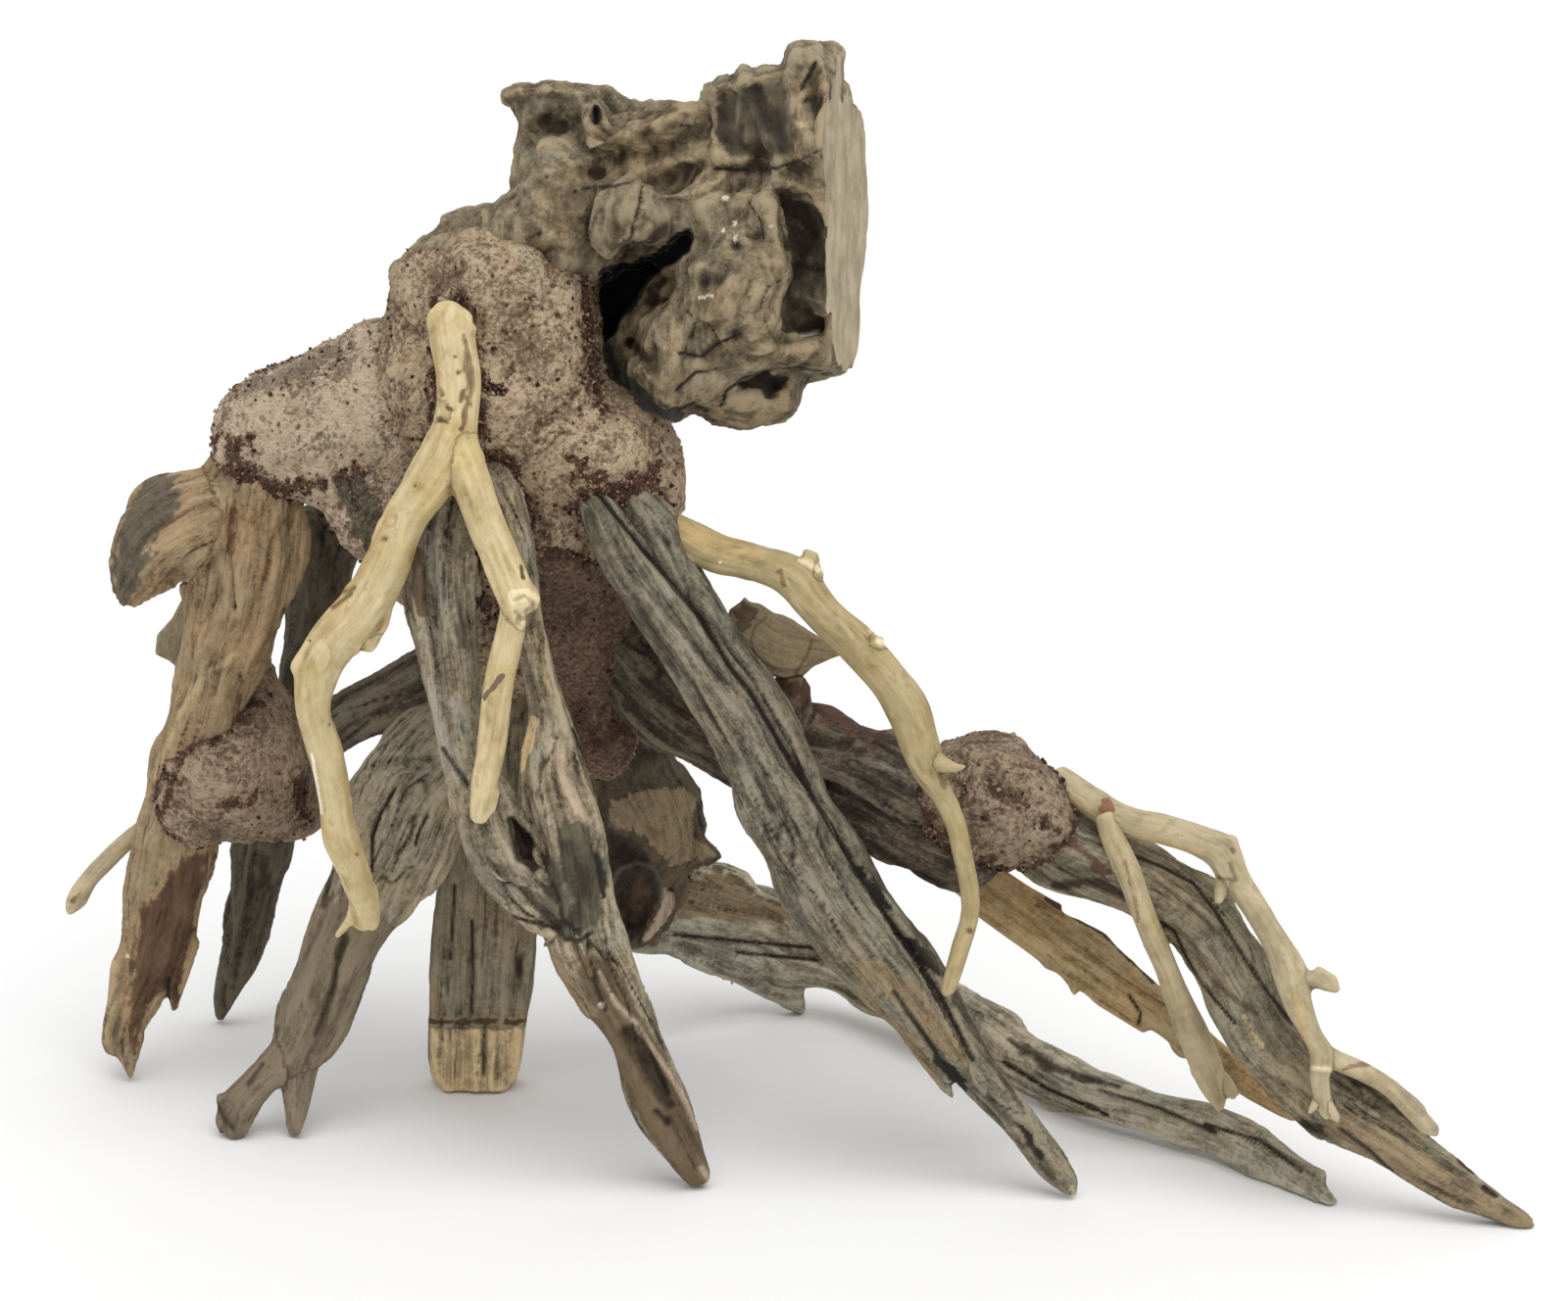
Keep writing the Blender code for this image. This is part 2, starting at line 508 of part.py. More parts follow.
            (-154.4, 146, 12, 2.4, 1.0), (-153.4, 142.6, 13, 0.8, 0.7),
        ],
    ),
}

TWIGS = ("fork_twig", "arch_twig", "claw_twig", "hanging_twig", "left_twig")
SPLIT_WOOD = ("back_plank", "tan_plank", "flake_chip", "pale_chip_left")

# The lumps: each blob is its spot on the elevation and its radii across, upward and inward

SHOULDER_BLOBS = (
    ((-92, 208, 4), (14, 24, 20)),
    ((-103, 210, 2), (13, 25, 20)),
    ((-115, 207, 1), (13, 21, 18)),
    ((-127, 206, 0), (12, 17.5, 15)),
    ((-136, 204, 0), (9.5, 14, 12)),
    ((-104, 184, -10), (10.5, 12, 10)),
)

BURL_BLOBS = (
    ((-54, 271, 2), (15.5, 17, 19)),
    ((-76, 257, 2), (14, 9, 14)),
    ((-61, 285, 0), (11, 8.5, 9)),
    ((-68.5, 291.5, -4), (3.2, 2.2, 3)),
    ((-38, 273.5, 4), (22, 15.5, 19)),
    ((-16, 266, 4), (24, 23, 27)),
    ((-13, 287, 0), (10, 8.5, 12)),
    ((-4, 287, 2), (9, 10.5, 14)),
    ((4, 284, 2), (14, 19, 22)),
    ((9, 300, -2), (5.5, 6.2, 9)),
    ((6, 262, 2), (24, 32, 34)),
    ((4, 234, 0), (21, 15.5, 25)),
    ((-12, 242, -16), (15, 22, 18)),
    ((-25, 225, -12), (15.5, 14, 17)),
    ((-11, 216, -6), (13, 10, 15)),
    ((-40, 260, -18), (10.5, 12, 9)),
    ((-60, 253, 0), (19, 12, 18)),
    ((-38, 244, 14), (20, 20, 13)),
    ((-41, 223, 13), (15, 17, 13)),
)

BURL_HOLLOWS = (
    ((-36.5, 244, -22), (10.5, 11, 19)),
    ((-42, 232, -18), (7, 12, 14)),
    ((3.5, 251, -36), (8.0, 18.5, 17)),
    ((-25, 282, -24), (9, 9, 12)),
    ((-7, 279, -28), (7, 9, 12)),
)

CORE_BLOBS = (
    ((-72, 240, -2), (20, 21, 24)),
    ((-73, 214, -6), (26, 22, 26)),
    ((-52, 200, -8), (24, 18, 24)),
    ((-38, 193, -8), (12.5, 15, 18)),
    ((-62, 181, -2), (25, 17, 23)),
    ((-87, 241, -2), (13, 13, 19)),
    ((-90, 222, -2), (13, 22, 21)),
    ((-91, 174, 4), (12, 14, 14)),
    ((-52, 155, 3), (15, 18, 17)),
    ((-46, 131, 8), (9, 14, 12)),
    ((-74, 152, 8), (15, 14, 13)),
)

LEFT_MORTAR_BLOBS = (
    ((-141.5, 119.5, 20), (22, 17.5, 25)),
    ((-128, 113, 36), (13, 11.5, 22)),
    ((-137, 132, 20), (13, 11, 16)),
    ((-136, 142, 20), (5, 11, 8)),
    ((-150, 110, 12), (11, 11, 12)),
)

RIGHT_MORTAR_BLOBS = (
    ((52, 112, -28), (17, 17.5, 17)),
    ((64, 108, -31), (14, 16, 15)),
    ((76, 103, -34), (9, 11, 13)),
    ((40, 112, -26), (12, 13, 15)),
)

CUP = ((-69.6, 102, -55), (5.2, 9.0, 11))

# Each lump's blobs, hollows, face budget and height of bumps
LUMPS = {
    "burl": (BURL_BLOBS, BURL_HOLLOWS, BURL_FACES, BURL_BUMPS),
    "shoulder_stump": (SHOULDER_BLOBS, (), LUMP_FACES, MORTAR_BUMPS),
    "core_mortar": (CORE_BLOBS, (), CORE_FACES, MORTAR_BUMPS),
    "left_mortar": (LEFT_MORTAR_BLOBS, (), LUMP_FACES, MORTAR_BUMPS),
    "right_mortar": (RIGHT_MORTAR_BLOBS, (), LUMP_FACES, MORTAR_BUMPS),
}

# Colours: base colour and roughness of each kind of surface
FINISHES = {
    "weathered_root": ((0.235, 0.212, 0.178), 0.85),
    "brown_root": ((0.205, 0.135, 0.090), 0.85),
    "dark_root": ((0.070, 0.062, 0.052), 0.80),
    "split_wood": ((0.430, 0.290, 0.150), 0.75),
    "peeled_twig": ((0.620, 0.485, 0.270), 0.60),
    "burl_wood": ((0.235, 0.190, 0.125), 0.85),
    "sawdust_mortar": ((0.290, 0.190, 0.150), 0.95),
}

FINISH_OF = {
    "brown_leg": "brown_root",
    "right_arm": "brown_root",
    "heart_chunk": "brown_root",
    "back_left_leg": "dark_root",
    "cross_branch": "dark_root",
    "tan_plank": "split_wood",
    "flake_chip": "split_wood",
    "pale_chip_left": "split_wood",
    "burl": "burl_wood",
    "shoulder_stump": "sawdust_mortar",
    "core_mortar": "sawdust_mortar",
    "left_mortar": "sawdust_mortar",
    "right_mortar": "sawdust_mortar",
    **{twig: "peeled_twig" for twig in TWIGS},
}


def make_limb_piece(name, number, parts, scraps):
    """A piece of wood: its limbs, joined into one body."""
    sides, rough, squareness = ROOT_SIDES, ROOT_ROUGH, ROUND
    if name in TWIGS:
        sides, rough = TWIG_SIDES, TWIG_ROUGH
    if name in SPLIT_WOOD:
        rough, squareness = SPLIT_ROUGH, SPLIT
    piece = None
    for branch, stations in enumerate(LIMBS[name]):
        bm = bmesh.new()
        add_limb(bm, stations, sides, rough, PIECE_SEED * number + BRANCH_SEED * branch, squareness)
        if piece is None:
            piece = make_object(name, bm, parts)
            continue
        limb = make_object(name + "_branch", bm, scraps)
        join(piece, limb, "UNION")
        discard(limb)
    return piece


def make_blobs(name, blobs, collection):
    """An object of overlapping blobs, to be melted together."""
    bm = bmesh.new()
    for spot, radii in blobs:
        add_blob(bm, spot, radii)
    thing = make_object(name, bm, collection)
    add_melt(thing)
    apply_modifiers(thing)
    return thing


def make_lump(name, number, parts, scraps):
    """A lump of fused blobs, with hollows scooped out of it."""
    blobs, hollows, faces, bumps = LUMPS[name]
    lump = make_blobs(name, blobs, parts)
    if hollows:
        scoop = make_blobs(name + "_hollows", hollows, scraps)
        join(lump, scoop, "DIFFERENCE")
        discard(scoop)
    fuse_lump(lump, faces, bumps, LUMP_SEED * number)
    edit_mesh(lump, keep_largest)
    return lump


def stand_on_floor(thing):
    """Flatten what reaches below the floor."""
    if min(vert.co.z for vert in thing.data.vertices) < 0.0:
        edit_mesh(thing, lambda bm: close_cut(bm, (0, 0, 0), (0, 0, 1)))


def saw_burl(burl):
    """The flat sawn end of the burl."""
    spot = Vector((SAWN_SPOT_X - MIDDLE_X, -MIDDLE_Y, 0)) * MM
    normal = Vector((-cos(SAWN_TURN), sin(SAWN_TURN), 0))
    edit_mesh(burl, lambda bm: close_cut(bm, spot, normal))


def scoop_cup(leg, scraps):
    """The small cup where the two strands of the front leg meet."""
    bm = bmesh.new()
    add_blob(bm, *CUP)
    scoop = make_object("cup", bm, scraps)
    join(leg, scoop, "DIFFERENCE")
    discard(scoop)


def clear_neighbours(pieces, scraps):
    """Cut each piece clear of those before it, by the glue gap."""
    cutters = [swollen_copy(piece, scraps) for piece in pieces]
    for index, piece in enumerate(pieces):
        for cutter in cutters[:index]:
            if boxes_meet(piece, cutter):
                join(piece, cutter, "DIFFERENCE")
        edit_mesh(piece, keep_largest)
    for cutter in cutters:
        discard(cutter)


def paint(thing):
    """Give a piece its own material."""
    colour, roughness = FINISHES[FINISH_OF.get(thing.name, "weathered_root")]
    material = bpy.data.materials.new(thing.name)
    material.use_nodes = True
    shader = material.node_tree.nodes["Principled BSDF"]
    shader.inputs["Base Color"].default_value = (*colour, 1.0)
    shader.inputs["Roughness"].default_value = roughness
    shader.inputs["Metallic"].default_value = 0.0
    material.diffuse_color = (*colour, 1.0)
    thing.data.materials.clear()
    thing.data.materials.append(material)
    thing.data.shade_smooth()
    thing.data.set_sharp_from_angle(angle=CREASE)


def main():
    for thing in list(bpy.data.objects):
        bpy.data.objects.remove(thing)
    parts = bpy.data.collections.new("aquarium_driftwood")
    scraps = bpy.data.collections.new("cutters")
    bpy.context.scene.collection.children.link(parts)
    bpy.context.scene.collection.children.link(scraps)

    pieces = [make_limb_piece(name, number, parts, scraps) for number, name in enumerate(LIMBS)]
    pieces += [make_lump(name, number, parts, scraps) for number, name in enumerate(LUMPS, 1)]
    scoop_cup(bpy.data.objects["front_leg"], scraps)
    saw_burl(bpy.data.objects["burl"])
    for piece in pieces:
        stand_on_floor(piece)
    clear_neighbours(pieces, scraps)
    for piece in pieces:
        paint(piece)


main()
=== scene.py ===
"""Dresses the aquarium driftwood: roots, burl and twigs are carved fine, and the mortar gets its crumbs.

The pieces lie on the same sloping elevation as in the part's source: a spot on it is right and up on the
sheet and away, the depth behind the sheet's middle along the floor, all in millimetres. Each piece starts
from the limbs or blobs of its solid, is melted on a fine grid, gets what is drawn on it with the carving
tools, and then the relief of its wood. Grain and stains are painted on the mesh and read by the finishes,
and so are painted shade in hollows, cracks and grooves and painted highlights on rims and ridges.
"""

from math import atan2, ceil, cos, radians, sin

import bmesh
import bpy
import numpy as np
from mathutils import Matrix, Vector, noise


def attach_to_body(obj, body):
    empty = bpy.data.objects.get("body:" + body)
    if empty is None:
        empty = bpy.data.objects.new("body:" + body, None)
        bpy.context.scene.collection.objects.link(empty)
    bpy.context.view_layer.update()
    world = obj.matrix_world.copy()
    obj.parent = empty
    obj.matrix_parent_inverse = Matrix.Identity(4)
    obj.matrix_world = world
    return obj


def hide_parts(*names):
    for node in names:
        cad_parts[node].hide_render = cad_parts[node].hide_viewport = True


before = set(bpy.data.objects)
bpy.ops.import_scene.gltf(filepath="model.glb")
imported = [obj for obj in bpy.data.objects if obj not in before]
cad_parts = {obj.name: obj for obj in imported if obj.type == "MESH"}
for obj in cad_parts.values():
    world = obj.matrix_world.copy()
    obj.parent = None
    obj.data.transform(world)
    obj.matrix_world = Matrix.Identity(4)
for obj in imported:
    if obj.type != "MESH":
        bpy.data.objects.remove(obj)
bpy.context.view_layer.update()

# The elevation: its slope, the distance of the eye and where its middle lies, in millimetres
MM = 0.001
VIEW_SLOPE = radians(16.0)
VIEW_DISTANCE = 1000.0
SHEET_MIDDLE_UP = 150.0
SHEET_MIDDLE_HEIGHT = 130.0
MIDDLE_X = -2.75
MIDDLE_Y = 9.65

# Sections along a limb: the solid's spacing, which its roughness follows, and the fine spacing used here
SOLID_STEP = 11.0
SECTION_SLACK = 0.3
ROOT_STEP = 1.6
TWIG_STEP = 1.0
LIMB_SIDES = 24

# How many spots of a skin are set against a limb's middle line at once, to save memory
BATCH = 3000

# Roughness of a limb: how far its sides stray from an even oval, as a share of its radius,
# how fast that changes round it and along it, and what sets each limb's pattern apart
ROOT_ROUGH = 0.16
SPLIT_ROUGH = 0.07
TWIG_ROUGH = 0.05
WANDER_ROUND = 1.3
WANDER_ALONG = 0.55
PIECE_SEED = 7.3
BRANCH_SEED = 2.9

# Squareness of a cross-section: 2 is an oval, more is a plank
ROUND = 2.0
SPLIT = 3.2

# The burl's sawn end: a spot on it, and how far it turns from square to face the eye a little
SAWN_SPOT_X = 16.1
SAWN_TURN = radians(11.4)

ACROSS = Vector((1.0, 0.0, 0.0))
UPWARD = Vector((0.0, sin(VIEW_SLOPE), cos(VIEW_SLOPE)))
INWARD = Vector((0.0, cos(VIEW_SLOPE), -sin(VIEW_SLOPE)))
SHEET_MIDDLE = Vector((-MIDDLE_X, -MIDDLE_Y, SHEET_MIDDLE_HEIGHT))


# The elevation

def seen(right, up, away):
    """The world place of a spot on the elevation, and the scale of the drawing there."""
    rise = up - SHEET_MIDDLE_UP
    deep = (away - rise * UPWARD.y) / (INWARD.y + rise * UPWARD.y / VIEW_DISTANCE)
    scale = 1.0 + deep / VIEW_DISTANCE
    height = SHEET_MIDDLE_HEIGHT + rise * scale * UPWARD.z + deep * INWARD.z
    return Vector((right * scale - MIDDLE_X, away - MIDDLE_Y, height)), scale


def drawn(spots):
    """Right and up on the elevation of world spots in millimetres."""
    local = spots - np.array(SHEET_MIDDLE)
    scale = 1.0 + local @ np.array(INWARD) / VIEW_DISTANCE
    return np.stack((local[:, 0] / scale, local @ np.array(UPWARD) / scale + SHEET_MIDDLE_UP), axis=1)


def blend(before, start, end, after, share):
    """A smooth curve from start to end that also heads from before and towards after."""
    square = share * share
    cube = square * share
    return tuple(
        b + 0.5 * ((c - a) * share + (2 * a - 5 * b + 4 * c - d) * square + (3 * b - a - 3 * c + d) * cube)
        for a, b, c, d in zip(before, start, end, after)
    )


def sections_along(stations, step):
    """A limb's stations closed up to a step by smooth curves, each with its place in the solid's count."""
    padded = [stations[0], *stations, stations[-1]]
    filled = []
    count = 0
    for before, start, end, after in zip(padded, padded[1:], padded[2:], padded[3:]):
        length = (Vector(end[:3]) - Vector(start[:3])).length
        solid_steps = max(1, ceil(length / SOLID_STEP - SECTION_SLACK))
        steps = max(2, round(length / step))
        for place in range(steps):
            share = place / steps
            filled.append((*blend(before, start, end, after, share), count + solid_steps * share))
        count += solid_steps
    return filled + [(*stations[-1], count)]


# Noise, in numpy because it runs over every vertex

def random_share(cells, seed):
    """A number from 0 to 1 for each cell of a grid, always the same for the same cell."""
    mixed = cells @ np.array((374761393, 668265263, 1440662683)) + seed * 974634777
    mixed = ((mixed ^ (mixed >> 13)) * 1274126177) & 0xFFFFFFFF
    mixed = ((mixed ^ (mixed >> 16)) * 2246822519) & 0xFFFFFFFF
    return ((mixed ^ (mixed >> 15)) & 0xFFFF) / 0xFFFF


def swell(spots, seed):
    """Smooth noise from about -1 to 1 at each spot, one swell to a unit."""
    cells = np.floor(spots).astype(np.int64)
    inside = spots - cells
    ease = inside ** 3 * (inside * (inside * 6.0 - 15.0) + 10.0)
    total = np.zeros(len(spots))
    for corner in np.ndindex(2, 2, 2):
        near = cells + corner
        slope = np.stack([random_share(near, seed + axis * 57) for axis in range(3)], axis=1) * 2.0 - 1.0
        weight = np.prod(np.where(corner, ease, 1.0 - ease), axis=1)
        total += weight * ((inside - corner) * slope).sum(axis=1)
    return total * 1.9


def cell_height(spots, seed):
    """Rounded grains packed side by side: 1 on top of a grain, 0 between grains."""
    cells = np.floor(spots).astype(np.int64)
    nearest = np.full(len(spots), 9.0)
    for step in np.ndindex(3, 3, 3):
        near = cells + np.array(step) - 1
        heart = near + np.stack([random_share(near, seed + axis * 57) for axis in range(3)], axis=1)
        nearest = np.minimum(nearest, ((spots - heart) ** 2).sum(axis=1))
    return 1.0 - np.sqrt(nearest)


def smooth_step(low, high, value):
    """0 below low, 1 above high and a smooth slope between."""
    share = np.clip((value - low) / (high - low), 0.0, 1.0)
    return share * share * (3.0 - 2.0 * share)


# The pieces of wood: each limb's stations are (right, up, away, half width, half depth)
LIMBS = {
    "fork_twig": (
        [(-86.2, 239, -27.5, 2, 2), (-85.8, 236.5, -28.5, 4.6, 4.4), (-84.8, 230, -30.5, 5.8, 5.4),
            (-83.3, 220, -32.5, 5.8, 5.4), (-83.2, 210, -34.5, 5.6, 5.4), (-85.8, 201, -36.5, 6.6, 5.8),
            (-91, 192, -38.5, 6.2, 5.6), (-97, 183.5, -38.5, 5.6, 5.4), (-101.5, 172, -38.5, 5.9, 5.5),
            (-107.5, 161, -37.5, 6.6, 5.8), (-115, 152, -36.5, 6.6, 5.6), (-119.3, 143, -35.5, 5.6, 5.2),
            (-119.8, 134, -34.5, 4.7, 4.6), (-116.7, 123, -32.5, 4.5, 4.3), (-114.6, 112, -29.5, 4.2, 4.1),
            (-113.2, 102.5, -26.5, 4.6, 4.3), (-109.3, 92.5, -22.5, 3.9, 3.8),
            (-106.6, 84, -19.5, 3.4, 3.3), (-105.5, 79, -17.5, 2.4, 2.4)],
        [(-84.2, 212, -34.5, 4.8, 4.6), (-83.6, 204, -36.2, 5.6, 5.2), (-80.8, 195.5, -38.8, 5.4, 5),
            (-77.2, 185, -41.5, 5, 4.9), (-72.5, 174.5, -43.5, 5, 4.9), (-68.5, 165, -46, 5.3, 5.2),
            (-66.6, 160, -48.5, 5.2, 5.2)],
        [(-68.5, 163, -47.5, 3.6, 3.6), (-70, 153.5, -48.5, 4, 3.8), (-72.8, 141, -48.5, 4, 3.8),
            (-74.6, 127, -48.5, 3.7, 3.6), (-76.6, 113.5, -49.5, 3.3, 3.2), (-78, 106, -49.5, 2.2, 2.2)],
        [(-110, 157, -36.5, 4, 3.6), (-106.4, 152.5, -36.5, 3.6, 2.6), (-105, 149.5, -36.5, 1.6, 1.4)],
    ),
    "arch_twig": (
        [(-37, 186, -20, 4, 4.2), (-27.5, 180.3, -25, 4.6, 4.8), (-18.3, 175.4, -30, 5, 4.8),
            (-6.3, 172, -34, 4.8, 4.7), (2.2, 168.3, -37, 5.4, 5), (9, 160.5, -39, 4.9, 4.8),
            (18.5, 151.5, -41, 5.3, 5), (25.8, 143.5, -43, 5, 4.9), (31.3, 135.5, -45, 5.6, 5.2),
            (34.4, 127, -47, 5.3, 5), (36.8, 119.5, -48, 4.3, 4.2), (40.7, 112.7, -49, 3, 3),
            (43.8, 106, -50, 2.7, 2.7), (45.5, 98.5, -50, 2.7, 2.7), (47.2, 90, -51, 2.7, 2.7),
            (47.4, 82, -51, 2.5, 2.5), (45, 74, -52, 2.5, 2.5), (42.6, 66.3, -53, 2.3, 2.3),
            (41.3, 61.8, -53, 2, 2)],
        [(36, 124, -47, 2.4, 2.4), (40.4, 121, -51, 2.1, 2.1), (44.6, 120, -53, 1.3, 1.3),
            (46.6, 120.6, -54, 0.6, 0.6)],
        [(5, 167, -38, 3.4, 3.4), (9.2, 169.3, -38, 1.4, 1.4)],
        [(22, 151, -42, 3.6, 3.6), (26, 152.2, -42, 1.8, 1.8)],
    ),
    "claw_twig": (
        [(69, 118.5, -27, 3.2, 3), (74, 114.5, -30, 4, 3.6), (81.5, 109.2, -34, 4, 3.5),
            (88.5, 106.4, -38, 3.8, 3.4), (96.5, 104.4, -42, 4, 3.6), (105.5, 101.4, -46, 4.2, 3.6),
            (111.5, 98.5, -49, 4.6, 3.8), (115, 92, -50, 4, 3.6), (120, 84.4, -52, 3.4, 3.2),
            (125.8, 74.8, -54, 3.7, 3.3), (129.3, 67.5, -56, 4.6, 3.8), (131.3, 59.8, -59, 3.6, 3.3),
            (134.6, 52.3, -62, 2.8, 2.8), (137.2, 47, -63, 3.1, 3), (136.6, 41, -64, 2.6, 2.6),
            (137.3, 36, -64, 2.5, 2.4), (138.2, 32, -64.5, 1.7, 1.7), (138.6, 30, -65, 0.8, 0.8)],
        [(130, 68, -56, 2.4, 2.4), (136, 65.5, -58, 1.9, 1.9), (140.5, 64, -59, 1.8, 1.8)],
        [(136.5, 48, -62, 2.6, 2.6), (141, 45.6, -62, 2.7, 2.7), (147.5, 42.8, -62, 2.7, 2.6),
            (154.5, 38.5, -61, 2.5, 2.4), (160, 33, -61, 2.2, 2.1), (164.5, 29, -61, 2, 2),
            (166.5, 26.6, -61, 1.4, 1.4)],
        [(137, 37, -64, 1.8, 1.8), (140, 32, -65, 1.5, 1.5), (142, 29.5, -65.5, 0.9, 0.9)],
        [(137, 36.5, -64, 1.6, 1.6), (134.6, 33, -65, 1, 1), (133, 31, -65, 0.6, 0.6)],
        [(112.6, 97, -49, 2.2, 2.2), (111.6, 90, -51, 1.9, 1.9), (110.8, 85, -52, 1.3, 1.3)],
    ),
    "hanging_twig": (
        [(82, 108.5, -37, 3, 2.8), (84.2, 101.8, -40, 3.2, 3), (88, 92.8, -45, 3.2, 3),
            (91, 84.8, -46, 3, 2.9), (94.5, 76, -45, 3.2, 3), (98.5, 67, -43, 3.1, 3),
            (102, 57.3, -40, 3.7, 3.2), (105.6, 49, -37, 4.3, 3.4), (108.7, 41.3, -34, 3.8, 3),
            (110.5, 36, -31, 2.5, 2.3), (111.5, 32.4, -29, 1.1, 1.1)],
        [(108.5, 44, -34, 2.2, 2.2), (113, 39, -33, 2.2, 2.1), (115.6, 35.7, -32, 1.3, 1.3)],
    ),
    "left_twig": (
        [(-151, 112, 33, 2.2, 2.2), (-158, 108.3, 32, 2.3, 2.3), (-164.5, 103.8, 30, 2.4, 2.4),
            (-171, 98.3, 28, 2.5, 2.5), (-177, 91.8, 26, 2.4, 2.4), (-180.5, 87.2, 25, 2.2, 2.2),
            (-182.8, 84.2, 24, 1.2, 1.2)],
    ),
    "long_leg": (
        [(-49, 189, -24, 3.6, 3.6), (-46, 183.5, -30, 5.6, 5.2), (-41, 173.5, -35, 6.6, 6),
            (-33, 161, -37, 7, 6.2), (-25, 150, -38, 7, 6.2), (-17.5, 138.5, -39, 7.3, 6.4),
            (-9.5, 125, -40, 7.7, 6.6), (0, 106, -41, 9.2, 7.4), (8.3, 91, -42, 9.7, 7.8),
            (15.5, 80, -43, 9.6, 7.6), (24.3, 69, -44, 9, 7), (31.3, 60, -45, 7.9, 6.2),
            (38.3, 50.5, -46, 6.3, 5), (43, 43.8, -47, 4.6, 3.6), (46.4, 39.3, -48, 1.5, 1.5)],
        [(-41, 192, -19, 4.6, 4.6), (-32, 180, -27, 6.4, 6), (-24.5, 163.5, -30, 6, 6.6),
            (-16, 150.5, -31, 6, 6.8), (-7.8, 139, -32, 6, 7), (3.5, 117, -34, 6, 7.4),
            (11, 103.5, -35, 6, 7.6), (18.3, 91, -36, 6, 7.6), (25.8, 80, -38, 6.2, 7.4),
            (33, 70.5, -39, 6, 7), (39, 60.5, -41, 5.6, 6.4), (45, 49, -43, 5.5, 6),
            (52, 39, -44, 5.3, 5.6), (59, 31, -45, 4.9, 5), (65, 23.5, -46, 4.3, 4.2),
            (70, 16.8, -48, 3.5, 3.2), (73.4, 12.2, -49, 2.3, 2), (74.8, 10.4, -49.3, 1.2, 1.2)],
        [(34, 51, -46, 3.4, 3), (40, 41, -47, 2, 1.8), (43.8, 34.3, -48, 0.7, 0.7)],
    ),
    "front_leg": (
        [(-78, 199, -24, 6, 4.5), (-74.5, 191, -27, 7, 5.5), (-70.5, 178, -31, 7.4, 5.6),
            (-67, 162, -34, 4.6, 4.6), (-62.8, 144, -36, 4.2, 4.6), (-59.8, 131, -37, 5.6, 5.4),
            (-57.8, 116, -39, 9.6, 6.8), (-54, 101, -40, 8.8, 7), (-52.3, 87, -42, 9, 7.2),
            (-50.6, 75.5, -44, 10.2, 7.4), (-45.8, 65, -45, 8.8, 6.6), (-39.8, 53.5, -45, 6.8, 5.6),
            (-35, 42, -44, 6.3, 5.2), (-30.6, 31, -43, 6.4, 5.2), (-25.9, 21.5, -42, 4.8, 4.2),
            (-22.6, 15.8, -41.5, 2.8, 2.6), (-21.4, 13.6, -41.5, 1.4, 1.4)],
        [(-84, 200, -24, 6, 4.5), (-86, 190, -28, 9, 5), (-87.8, 178, -31, 10, 5.2),
            (-88, 165, -32, 10.4, 5.2), (-86, 153, -33, 8.6, 5), (-84.2, 140, -34, 7.3, 4.8),
            (-82.5, 127, -35, 6.2, 4.8), (-79.5, 118, -37, 6.4, 5.4), (-75.5, 108, -39, 7.8, 6.4),
            (-71.5, 97.5, -41, 8.8, 7), (-64, 88, -42, 8.8, 7), (-56, 81, -43, 7, 6.4)],
    ),
    "brown_leg": (
        [(-134, 199, -3, 10.5, 8), (-137, 187, -3, 14.4, 9), (-138.3, 173.5, -2, 14, 8.6),
            (-140, 161, 1, 12.8, 8.4), (-144.6, 146.5, 5, 9.8, 8), (-148.6, 131, 9, 9.4, 7.6),
            (-152, 116, 13, 9.8, 7.4), (-155.6, 101, 18, 10.2, 7.2), (-158, 89.5, 21, 10.5, 6.8),
            (-161, 76, 25, 9, 5.8), (-164.9, 63.5, 28, 6.4, 4.6), (-168, 54, 30, 4, 3.2),
            (-168.4, 49.6, 30, 3.4, 2.6), (-167, 45, 30, 2, 1.8), (-166.6, 41, 30.5, 0.9, 0.9)],
        [(-138, 187, -4, 10, 8), (-149.5, 183.5, -4, 12, 9), (-156.5, 180, -4, 12.8, 9.4),
            (-161.6, 175.5, -4, 11, 8.4), (-165, 169, -4, 7.4, 6.4), (-167.4, 164, -4, 3.8, 3.4),
            (-168, 160.6, -4, 1.4, 1.4)],
        [(-151.5, 77, 24, 3.4, 3), (-154.8, 64.5, 27, 2.1, 1.9), (-155.7, 57.6, 28, 0.8, 0.8)],
    ),
    "grey_leg_left": (
        [(-78, 130, 8, 9, 7), (-86.5, 125, 7, 13, 8.6), (-95.5, 114, 5, 16, 9.6), (-101, 101, 3, 15.6, 9.6),
            (-105.8, 90, 1, 12, 8.6), (-111, 78.5, -1, 9.8, 7.4), (-116, 66, -3, 9, 6.8),
            (-120.5, 55, -5, 8.6, 6.2), (-124, 47.5, -6, 6.6, 5), (-126, 43, -6, 3, 3)],
        [(-123, 52, -5, 5, 4.6), (-129.5, 44.5, -7, 4.7, 4.4), (-135, 38.6, -8, 4.3, 4.2),
            (-139.2, 33.5, -8, 5.2, 4.6), (-140.5, 28.5, -8.6, 4.6, 4), (-140.8, 25.3, -9, 2.6, 2.6)],
        [(-122, 50, -5, 4.4, 4), (-123.8, 37, -8, 3.3, 3), (-124.7, 28.5, -9, 2, 2),
            (-124.8, 25, -9.3, 1, 1)],
        [(-111, 66, 0, 4, 3.6), (-113.5, 54, -2, 2.8, 2.4), (-116, 47, -3, 0.8, 0.8)],
    ),
    "back_left_leg": (
        [(-115, 184, 26, 7.5, 7), (-117.8, 170, 35, 7.8, 6.6), (-119, 155, 43, 7.8, 6.4),
            (-122, 142, 49, 7, 6), (-127.5, 121, 58, 7, 5.8), (-133, 101, 64, 7.4, 5.6),
